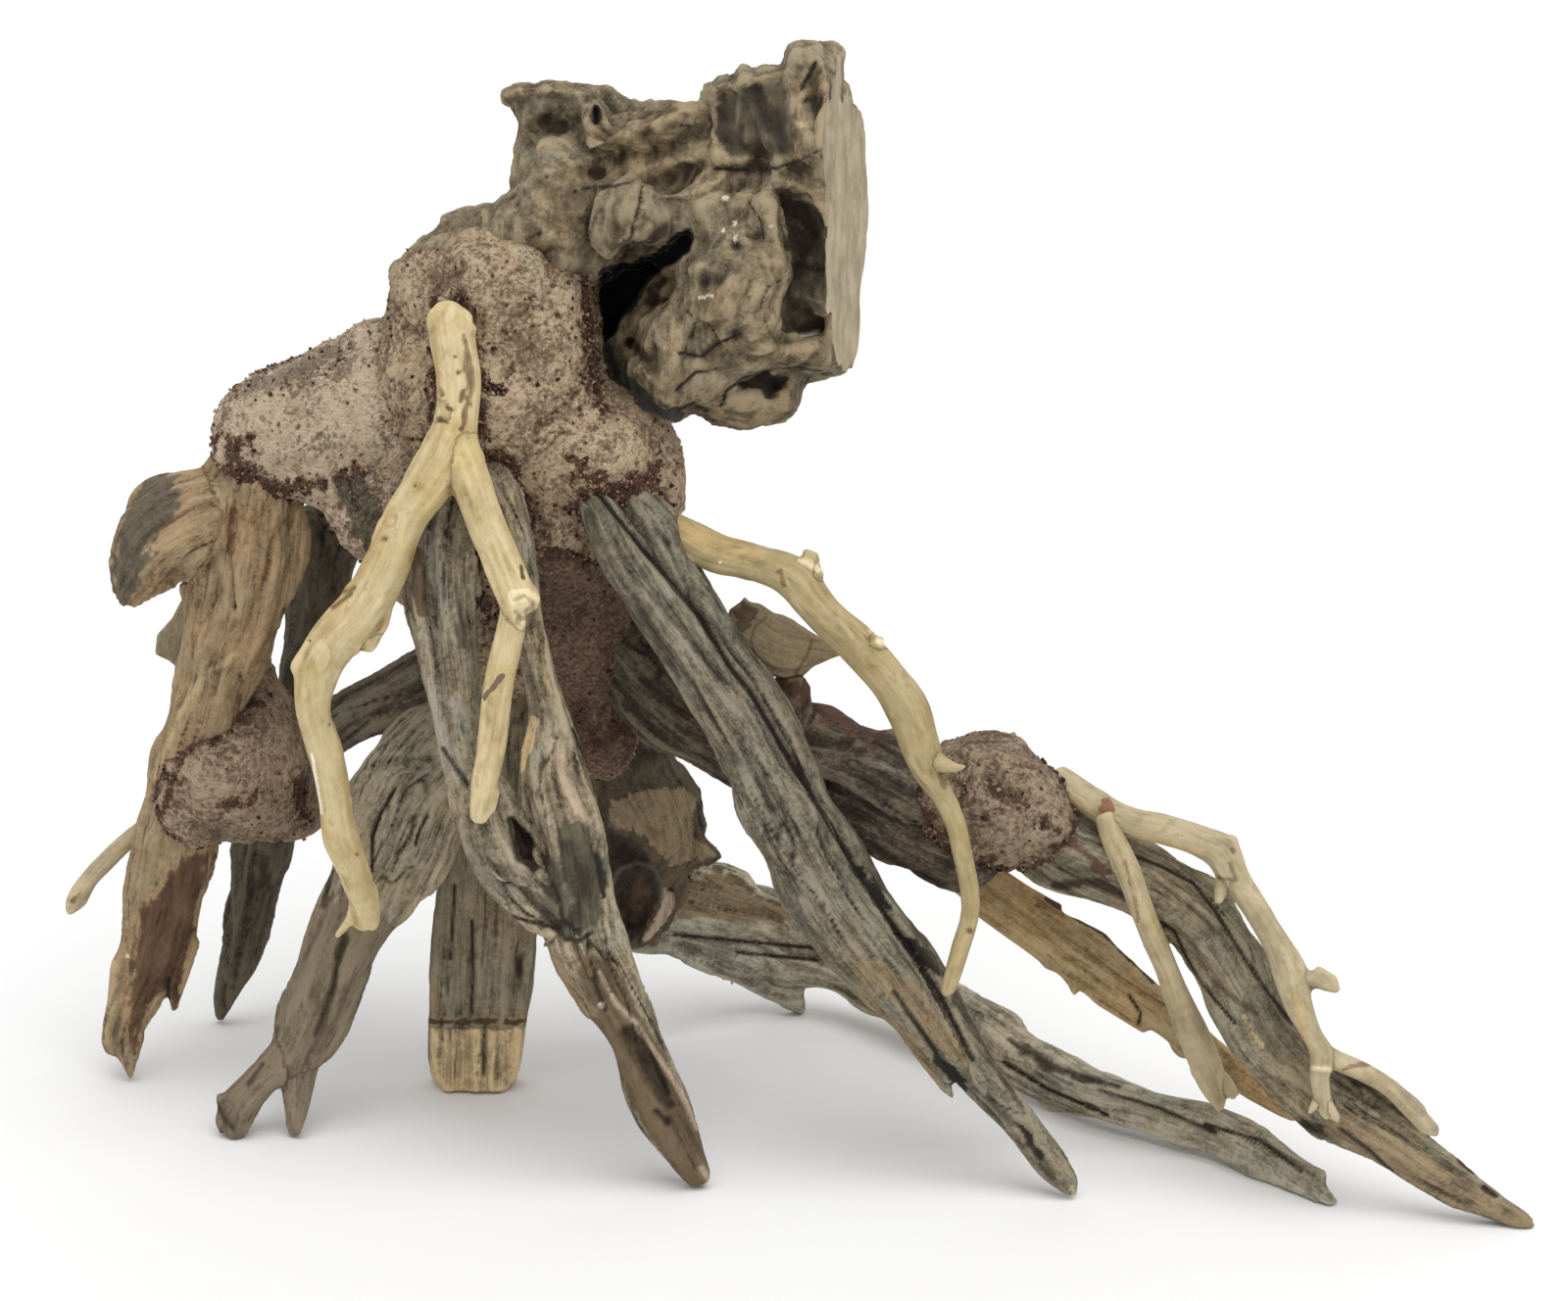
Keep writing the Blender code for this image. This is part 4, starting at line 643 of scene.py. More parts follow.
        ("fresh", ((-25, 91.5), (-17.5, 94), (-12, 92.5), (-8, 88), (0, 85), (7, 80), (-14, 80.5),
            (-21, 81.5), (-27.5, 81), (-27.5, 86))),
        ("stain_and_shade", ((-17.5, 95, 1.5), (-12, 92, 1.5), (-7.5, 88, 1.2), (-1, 85.5, 1))),
        ("light", ((-26, 79.5, 1.2), (-15, 78.5, 1.5), (7.5, 76.5, 1.2))),
        ("dark", ((58, 50.5, 2), (66.5, 45, 2.5), (76, 41, 2.2), (85, 39, 1.8))),
        ("gorge", ((56, 45, 0.8), (66.5, 38.5, 0.8), (82.5, 31.5, 0.8))),
        ("crack", ((107.5, 29, 0.8), (121.5, 25, 0.8), (132, 17, 0.8)), ((80, 38, 0.8), (95, 33.5, 0.8),
            (110, 27, 0.8))),
        ("light", ((70, 38.5, 1), (85, 35.5, 1.5), (100, 30, 1.8), (115, 23, 1.5))),
    ),
    "far_right_leg": (
        ("crack", ((88.5, 98, 0.8), (96, 95, 0.8), (104.5, 90.5, 0.8), (110, 83.5, 0.8), (117, 72, 0.8),
            (124, 62, 0.8), (129.5, 55, 0.8)), ((94, 82, 0.8), (99.5, 78.5, 0.8), (102.5, 72, 0.8),
            (107, 64.5, 0.8), (115, 55, 0.8))),
        ("crumbs", ((71, 103.5, 2.5), (77.5, 98, 2.5), (82.5, 91, 2))),
        ("light", ((109.5, 82, 1), (111.5, 73.5, 1.5), (115, 68, 1.8), (122, 58, 1.2))),
        ("stain_and_shade", ((108, 66.5, 1.8), (114, 62, 2), (121, 57, 1.5))),
        ("edge", ((117, 57, 1), (122, 49, 1))),
        ("dark", ((69, 90, 2), (77.5, 91, 2.5), (87.5, 87, 2)), ((132.5, 29.5, 2.5), (137.5, 27, 3),
            (142, 26, 2.2))),
        ("fresh", ((138, 29.5), (143, 32), (158, 25), (175, 14.5), (185, 9), (192.5, 3.5), (190, 0.5),
            (175, 5.5), (160, 13), (141, 24), (138, 26))),
        ("dark", ((140, 44, 2), (149, 38.5, 2), (157.5, 31.5, 1.8), (167.5, 25, 1.2), (176, 16.5, 1))),
        ("pit", ((178.5, 13, 1), (181.5, 11, 1))),
        ("stain_and_shade", ((184.5, 7, 1.2),)),
        ("crack", ((142, 28, 0.8), (150, 22, 0.8), (155, 17, 0.8))),
    ),
    "tan_plank": (
        ("barkedge", ((67, 86.5, 1), (81, 78.5, 1.2), (90, 70, 1.2), (94, 65.5, 0.8))),
        ("ridge", ((71, 78, 1), (76, 77, 1.2), (81, 73, 1.2), (86, 68, 1), (97.5, 61, 1))),
        ("stain_and_shade", ((64.5, 85, 1.2), (67.5, 83.5, 1.2))),
        ("crack", ((88, 62, 0.8), (91, 57.5, 0.8), (90.5, 55, 0.8))),
        ("groove", ((60, 83.5, 0.8), (72.5, 72, 1), (85, 62, 0.8))),
    ),
    "right_arm": (
        ("dark", ((0, 141, 3.5), (5, 140, 3)), ((-22, 117, 2.5), (-10, 116, 3), (40, 90, 3))),
        ("groove", ((11, 116, 1.5), (25, 108.5, 1.8), (40, 101, 1.5))),
        ("crumbs", ((3, 141, 3), (9, 135.5, 4), (17, 130.5, 4), (25, 126.5, 2.5)), ((40, 118.5, 2.5),
            (46, 107, 4), (55, 100.5, 4), (65, 97.5, 3.5), (74, 100.5, 3))),
        ("light", ((20, 122, 2), (30, 118.5, 2.2), (39, 113, 2))),
    ),
    "heart_chunk": (
        ("fresh", ((-45, 112), (-35, 115), (-25, 116), (-22, 112), (-22.5, 103.5), (-15.5, 97), (-29, 94.5),
            (-32, 97.5), (-35, 101.5), (-40, 103.5), (-45.5, 104.5))),
        ("char", ((-21, 116, 1), (-21, 112, 1), (-22, 108, 1), (-21, 105.5, 1.8))),
        ("dark", ((-50, 103.5), (-42.5, 104), (-36, 102), (-33, 97), (-29.5, 93), (-29, 90), (-36, 76),
            (-40, 75), (-50, 83.5))),
        ("recess", ((-40, 93), (-36, 94), (-33, 92), (-32, 87), (-33, 82), (-36, 78.5), (-40, 78),
            (-42.5, 81), (-43, 86.5), (-42.5, 90.5))),
        ("redface", ((-39.5, 91.5), (-36, 93), (-34, 91), (-33, 87), (-34.5, 83), (-37.5, 80), (-40, 80.5),
            (-41.5, 84), (-42, 88.5))),
        ("lip", ((-44, 90, 1), (-42, 94, 1), (-37.5, 96, 1), (-33, 94.5, 1), (-31, 90, 1), (-31.5, 83.5, 1),
            (-35, 77, 1))),
        ("pink", ((-31, 90), (-27.5, 88), (-27.5, 85), (-29.5, 81), (-34, 76), (-37.5, 75), (-31.5, 85))),
    ),
    "fork_twig": (
        ("spot", ((-87.5, 216.5, 1.2), (-87, 215, 1)), ((-83, 221, 1.2),), ((-86, 212, 1.2),
            (-84.5, 211.5, 1)), ((-82, 216, 1.5), (-82.5, 213.5, 1)), ((-88, 209, 1.5), (-86, 208, 1.2)),
            ((-84, 225, 1),), ((-89, 220.5, 1),), ((-82.5, 206.5, 1.2),)),
        ("dirt", ((-82.5, 233.5, 1.5), (-80.5, 226, 1.5), (-80, 217, 1.5), (-81.5, 208.5, 1.5))),
        ("golden", ((-90, 236, 1.2), (-88, 216, 1.5))),
        ("whitish", ((-90, 217, 0.5), (-89.5, 215, 0.8), (-90, 213, 0.5))),
        ("spot", ((-100.5, 183, 2.5),)),
        ("scar", ((-100.5, 183, 1.8),)),
        ("spot", ((-102, 178.5, 1.5),), ((-106, 176.5, 1.8),)),
        ("scar", ((-106, 176.5, 1),)),
        ("spot", ((-94, 192, 0.8),), ((-121, 152.5, 0.8),)),
        ("crack", ((-115, 161, 0.8), (-110.5, 164.5, 0.8))),
        ("notch", ((-67, 171.5, 0.8), (-66.5, 168.5, 0.8)), ((-68, 158, 0.8), (-67.5, 157, 0.8))),
        ("barkbit", ((-76.5, 138, 1), (-72, 143.5, 1))),
        ("cut", ((-71, 165.5), (-65, 166.5), (-61.5, 163), (-62, 157), (-65.5, 155.5), (-69.5, 157.5))),
        ("ringline", ((-68.5, 163, 0.8), (-66, 164, 0.8), (-64, 162, 0.8), (-64, 159, 0.8), (-67, 158, 0.8),
            (-68.5, 160, 0.8))),
        ("golden", ((-100, 186, 2), (-105, 176, 2.2), (-112.5, 163.5, 2.5), (-117.5, 153.5, 2.2))),
        ("spot", ((-112, 165, 1), (-109.5, 166, 0.8)), ((-116, 131, 0.5),)),
        ("chip", ((-120.5, 123.5, 0.5), (-118, 108.5, 0.5))),
        ("golden", ((-114, 131, 1.2), (-110, 103.5, 1.2), (-106, 91, 1))),
        ("spot", ((-109, 98, 0.8),)),
        ("rust", ((-82.5, 253.5, 1.2), (-81, 241, 1))),
    ),
    "arch_twig": (
        ("golden", ((-31, 182, 4), (-22.5, 179, 4.5), (-14, 176, 4), (-6, 174, 2.5))),
        ("knotty", ((-1, 170, 1.5), (0, 167, 1.2))),
        ("pale", ((5, 173, 2), (9, 170.5, 1.5)), ((23, 155, 2), (25, 152, 1.5))),
        ("chip", ((-16.5, 172.5, 0.5),)),
        ("spot", ((47.5, 78.5, 1.5),)),
        ("dirt", ((41, 116, 1.8), (40, 118.5, 1.5))),
    ),
    "left_twig": (
        ("dirt", ((-181.5, 86, 1.2), (-179.5, 88, 1))),
        ("golden", ((-162.5, 103.5, 1), (-170, 99, 1))),
    ),
    "hanging_twig": (
        ("rust", ((89.5, 85, 0.8), (90.5, 81, 0.8), (87, 96, 0.8))),
    ),
    "claw_twig": (
        ("mortarband", ((82, 110.5, 2), (83.5, 106.5, 2.2))),
        ("dirt", ((114.5, 99, 1.2),)),
        ("ring", ((134.5, 43.5, 1.2), (139, 43, 1.2))),
        ("dirt", ((150, 45, 1.2), (142.5, 43, 1))),
        ("greyed", ((155, 40, 1.5), (161, 35, 2.2), (166.5, 28, 2.2))),
        ("dirt", ((114, 96, 1.2), (115.5, 91, 1), (111, 92, 1))),
        ("golden", ((90, 103.5, 1.2), (100, 100.5, 1.5), (109, 98, 1.2)), ((130.5, 62, 1.2),
            (132, 53.5, 1.5), (135, 46, 1))),
    ),
    "flake_chip": (
        ("ringline", ((7, 152.5, 0.8), (6.5, 150, 0.8), (3, 144, 0.8)), ((-7.5, 149, 0.8),
            (-8.5, 152.5, 0.8), (-7.5, 156, 0.8), (-4.5, 158.5, 0.8))),
        ("bark", ((-13.5, 160), (-10, 163), (-6, 161), (-7, 157.5), (-11, 153.5))),
        ("dark", ((-5, 144, 0.8), (0, 142.5, 0.8), (4.5, 143.5, 0.8))),
    ),
    "burl": (
        ("stain_and_shade", ((-18, 291), (-10, 295.5), (1, 296), (4.5, 276.5), (-5, 274.5), (-14, 275),
            (-18, 278.5))),
        ("block", ((-19, 294), (-15, 295.5), (-13, 295), (-10.5, 298.5), (-8, 297), (0, 298), (1.5, 304),
            (10, 305), (12, 291), (11, 276), (0, 273.5), (-14, 273), (-18, 274.5), (-19.5, 281))),
        ("recess", ((-66, 286.5), (-60, 288), (-54.5, 286), (-54, 282), (-57.5, 279.5), (-64, 281),
            (-66.5, 283))),
        ("rim", ((-51, 288, 0.8), (-50, 290, 1), (-47, 291, 1), (-45, 288, 1), (-45, 285, 1),
            (-47.5, 282.5, 1), (-50, 283.5, 0.8))),
        ("hole", ((-48, 288, 1.2), (-48, 285, 1.2))),
        ("rim", ((-71, 291.5, 1.2), (-67.5, 293, 1.5), (-60, 293, 1.5), (-50, 292, 1.2))),
        ("light", ((-68, 278.5, 2.5), (-64, 276, 3.5), (-56, 277, 3.5), (-50, 278.5, 2.5)),
            ((-70, 289, 1.5), (-60, 290, 2), (-51, 289.5, 1.5))),
        ("rim", ((-28.5, 286, 0.8), (-27, 288, 1), (-24, 287.5, 1), (-23, 285.5, 1), (-24, 283, 1),
            (-27, 283, 1))),
        ("pit", ((-26, 284, 1), (-24, 284, 1))),
        ("recess", ((-37, 269), (-33, 272), (-27.5, 274.5), (-19.5, 276.5), (-18, 273), (-22, 269.5),
            (-27.5, 267.5), (-33, 268))),
        ("rim", ((-37.5, 268, 1), (-27.5, 266, 1.2), (-22, 267, 1.2), (-16, 270.5, 1))),
        ("crack", ((-54, 267, 0.5), (-50, 268, 0.8), (-44, 268.5, 0.8), (-39.5, 269.5, 0.5))),
        ("dent", ((-52, 271, 1.5), (-46, 272, 2))),
        ("ridge", ((-40, 278, 1.2), (-52.5, 275, 1.8), (-65, 270, 1.8), (-72.5, 265, 1.5))),
        ("pit", ((-60.5, 271, 0.8),)),
        ("dent", ((-35, 282, 3), (-33, 278.5, 2.5))),
        ("flute", ((-16, 291, 2), (-15, 285, 2.5), (-14.5, 278.5, 1.5))),
        ("ridge", ((-11, 297, 0.8), (-12, 283.5, 0.8))),
        ("flute", ((-7.5, 294, 1.8), (-5, 287, 2.5), (-1, 280, 2.2))),
        # Painted shade down the flutes of the crest
        ("stain_and_shade", ((-16, 288.5, 2.5), (-14.5, 281, 2.2)), ((-8, 293.5, 2.2), (-4, 285, 3), (0, 279, 2))),
        ("ridge", ((2.5, 299, 1), (1.5, 293.5, 1), (1.5, 286.5, 1))),
        ("gorge", ((8, 300, 1), (4.5, 293.5, 0.8))),
        ("recess", ((6, 298.5), (10.5, 300), (9.5, 278.5), (5.5, 281), (4, 288.5))),
        ("palepatch", ((5, 289, 2.2), (6.5, 285, 2.5), (4, 284, 1.5))),
        ("crack", ((-18, 273, 0.5), (-9, 272.5, 0.8), (-2.5, 273, 0.8), (4, 275, 0.5), (10, 278, 0.5))),
        ("dark", ((-16, 274, 1.2), (-13, 273, 1))),
        ("boss", ((-25, 265), (-5.5, 268.5), (-2.5, 265), (0, 259), (1.5, 250.5), (0, 245), (-2, 241),
            (-2.5, 233.5), (-7.5, 230), (-15, 231.5), (-25, 232.5), (-32.5, 241), (-27.5, 247), (-22, 252),
            (-21.5, 256)), ((-40, 235.5), (-34, 239.5), (-27.5, 238), (-24, 233), (-25, 227), (-27, 221),
            (-30, 215), (-36, 216.5), (-41, 222), (-43, 228.5)), ((-9, 229), (0, 228.5), (12, 229.5),
            (12.5, 219.5), (5, 220), (-8, 224.5))),
        ("sheet", ((-49.5, 266), (-45.5, 268.5), (-40, 270), (-36, 270.5), (-37.5, 260.5), (-40.5, 250),
            (-43, 250), (-44.5, 248.5), (-46.5, 247.5), (-50.5, 250.5)), ((-35.5, 270.5), (-32, 268.5),
            (-27.5, 265), (-27, 260), (-30, 256), (-38, 250.5), (-40, 250.5), (-37.5, 257), (-36, 263.5))),
        # Painted shade under the two flaps above the well
        ("dark", ((-35, 257), (-27.5, 262), (-27.5, 256.5), (-34, 251.5), (-39, 250.5))),
        ("crack", ((-36, 269.5, 0.5), (-37, 263.5, 0.5), (-40.5, 250.5, 0.8)), ((-50.5, 265, 0.5),
            (-50, 260, 0.8), (-50.5, 255, 0.8))),
        ("light", ((-45, 260.5, 0.8), (-46, 255, 0.8)), ((-48.5, 258, 0.8), (-49, 253.5, 0.8))),
        # Painted shade deep in the well under the flaps
        ("well", ((-48, 247), (-44.5, 248.5), (-35.5, 250.5), (-31, 253.5), (-27.5, 257), (-23.5, 258.5),
            (-22, 255), (-24, 251), (-33.5, 245), (-36, 242), (-37.5, 238), (-41, 235), (-43, 230.5),
            (-47, 228.5), (-48.5, 232), (-47.5, 241))),
        ("shaft", ((-3.5, 268.5), (0, 269), (5, 266.5), (9, 263), (11, 258), (11.5, 250.5), (11, 241),
            (11.5, 235), (11, 230.5), (4, 230), (0, 232), (-1.5, 235.5), (-1, 241), (2, 248.5), (-1, 262),
            (-3, 265))),
        # Painted shade inside the shaft
        ("dark", ((0, 264.5, 1.8), (4.5, 260.5, 3), (8, 256, 2), (5, 250.5, 1.5))),
        # Painted highlights inside the shaft
        ("light", ((3, 241, 0.8), (10.5, 238.5, 0.8))),
        ("crack", ((3, 248.5, 0.8), (11.5, 247, 0.8))),
        ("light", ((3, 259.5, 0.8), (6, 256.5, 0.8))),
        ("whitish", ((4.5, 230.5, 0.8), (8.5, 231, 0.8))),
        ("rim", ((-3, 265.5, 0.8), (1, 255, 0.8), (2, 249.5, 1), (0, 244.5, 1), (-1, 240.5, 0.8),
            (-1.5, 235.5, 0.8)), ((-22, 257, 1), (-23.5, 252, 1), (-28.5, 248, 1), (-34, 245, 1),
            (-37, 240, 1), (-40.5, 235.5, 1), (-43, 230.5, 1))),
        ("recess", ((-39, 228.5, 2.2), (-36, 225, 2.8), (-34, 221.5, 2))),
        ("dark", ((-39, 228.5, 2), (-35, 224.5, 2))),
        ("rim", ((-42, 230, 1), (-43, 225.5, 1), (-41, 219, 1), (-38.5, 215.5, 0.8)), ((-33.5, 229.5, 0.8),
            (-30.5, 227, 0.8), (-30, 223, 0.8), (-31.5, 219, 0.8))),
        ("knoll", ((-30.5, 236, 3),), ((-24, 232.5, 2.2),)),
        ("rim", ((-24, 246.5, 1), (-21, 248, 1), (-17, 246.5, 1))),
        ("pit", ((-20, 244, 1.8),), ((-12, 253, 2),)),
        ("rim", ((-15.5, 253.5, 0.8), (-14, 256, 0.8), (-11, 256, 0.8), (-9, 253.5, 0.8))),
        ("whitish", ((-21.5, 240, 0.8), (-18.5, 240.5, 0.8))),
        ("chip", ((-12.5, 259, 1),), ((-15.5, 257, 0.8),), ((-12.5, 255, 0.8),), ((-17, 262, 0.8),),
            ((-15, 265.5, 1),), ((-3, 258, 0.8),)),
        ("crack", ((-6, 238, 0.5), (-4, 243, 0.5), (-1, 244.5, 0.5)), ((-5, 235, 0.5), (-4, 231.5, 0.5),
            (-2, 229, 0.5)), ((-9.5, 265, 0.5), (-6, 260, 0.5), (-5, 255, 0.5))),
        ("crevice", ((-27, 226, 0.8), (-21, 225, 0.8), (-17.5, 228, 0.8), (-12, 230.5, 0.5)),
            ((-27.5, 216.5, 0.8), (-22.5, 221, 0.8), (-17, 222, 0.5))),
        ("light", ((-24, 228.5, 2), (-21, 228, 1.8)), ((-22, 218.5, 2), (-18, 219.5, 2))),
        ("crack", ((-25, 237, 0.5), (-22.5, 234, 0.5), (-23.5, 230, 0.5)), ((-19.5, 233.5, 0.5),
            (-17, 230, 0.5))),
        ("recess", ((-13, 219), (-7, 222.5), (3, 220.5), (0, 216), (-3.5, 213.5), (-8, 216.5), (-12, 215))),
        ("dark", ((-13, 219), (-7, 222.5), (3, 220.5), (0, 215), (-3.5, 213), (-8, 216), (-12, 214.5))),
        ("crevice", ((-16, 212.5, 0.8), (-14.5, 216.5, 0.8), (-10, 219.5, 0.8), (-4, 221.5, 0.8)),
            ((-27.5, 211.5, 0.8), (-23, 213, 0.8), (-19.5, 211, 0.8))),
        ("rim", ((-18, 214, 0.8), (-16, 218.5, 0.8), (-11, 222, 0.8), (-5, 224, 0.8))),
        ("stain_and_shade", ((-14, 211, 2.5), (-9, 210, 2.5))),
        ("dark", ((0, 223, 1), (12, 220.5, 1))),
        # Painted shade on the underside of the burl
        ("slate", ((-46, 228.5, 3), (-41, 219, 3), (-34, 212.5, 3.5), (-27.5, 210, 3))),
    ),
    "core_mortar": (
        ("crumbs", ((-50, 251, 3), (-50, 236, 3.5), (-49, 221, 3), (-46, 211, 3)), ((-89, 240, 1.8),
            (-89.5, 216, 2.2), (-91, 198.5, 2)), ((-82.5, 241, 2), (-81, 221, 2.2), (-82.5, 206, 2)),
            ((-52.5, 196, 5), (-40, 191, 5), (-32.5, 196, 4))),
        # Darker mortar between the legs, partly painted shade
        ("inner", ((-64, 175.5), (-56, 177), (-48, 174.5), (-39, 166), (-33, 156), (-24, 143.5), (-25, 136),
            (-32, 121), (-38, 113), (-45.5, 106), (-51, 116), (-62, 143.5), (-65, 161))),
        ("crumbs", ((-52.5, 136, 3.5), (-47.5, 126, 4), (-40, 131, 4), (-39, 118.5, 3))),
        ("dark", ((-62.5, 176, 1.2), (-55, 175.5, 1.8), (-50, 172, 1.5))),
        ("hole", ((-75, 217.5, 1.5), (-72, 216, 1.5))),
        ("leafchip", ((-68, 253.5, 2), (-65, 250, 2.2), (-63, 247, 1.2))),
        ("dark", ((-60, 173.5, 2), (-50, 173, 2.5), (-42.5, 171, 2))),
    ),
    "shoulder_stump": (
        ("crumbs", ((-140, 193.5, 2.5), (-130, 191, 3), (-117.5, 192, 3), (-107.5, 195, 2.5)),
            ((-99, 236, 2), (-92.5, 201, 2))),
        ("greyed", ((-137.5, 216, 4), (-125, 221, 4.5), (-115, 226, 3.5))),
        ("woodlobe", ((-110, 191, 5.5), (-106, 182, 5.5), (-104, 176, 3.5))),
        ("crack", ((-109.5, 198.5, 0.8), (-111, 192, 0.8), (-108.5, 186, 0.8))),
    ),
    "left_mortar": (
        ("crumbs", ((-140, 146, 3), (-138, 141, 3), (-134.5, 137, 2.5)), ((-160, 118.5, 2.5),
            (-155, 116, 2.5), (-159, 108.5, 2.5)), ((-125, 116, 3.5), (-122, 108.5, 3)),
            ((-142.5, 111, 2.5), (-135, 112, 2))),
    ),
    "right_mortar": (
        ("crumbs", ((52.5, 116, 3), (57.5, 113, 3.5), (62, 110, 2.5))),
        ("dark", ((46, 116.5, 1.2), (46.5, 113, 1.2)), ((48, 108, 1.5), (52, 107, 1.5))),
        ("crumbs", ((65, 107, 2.5), (70, 103.5, 2))),
    ),
}

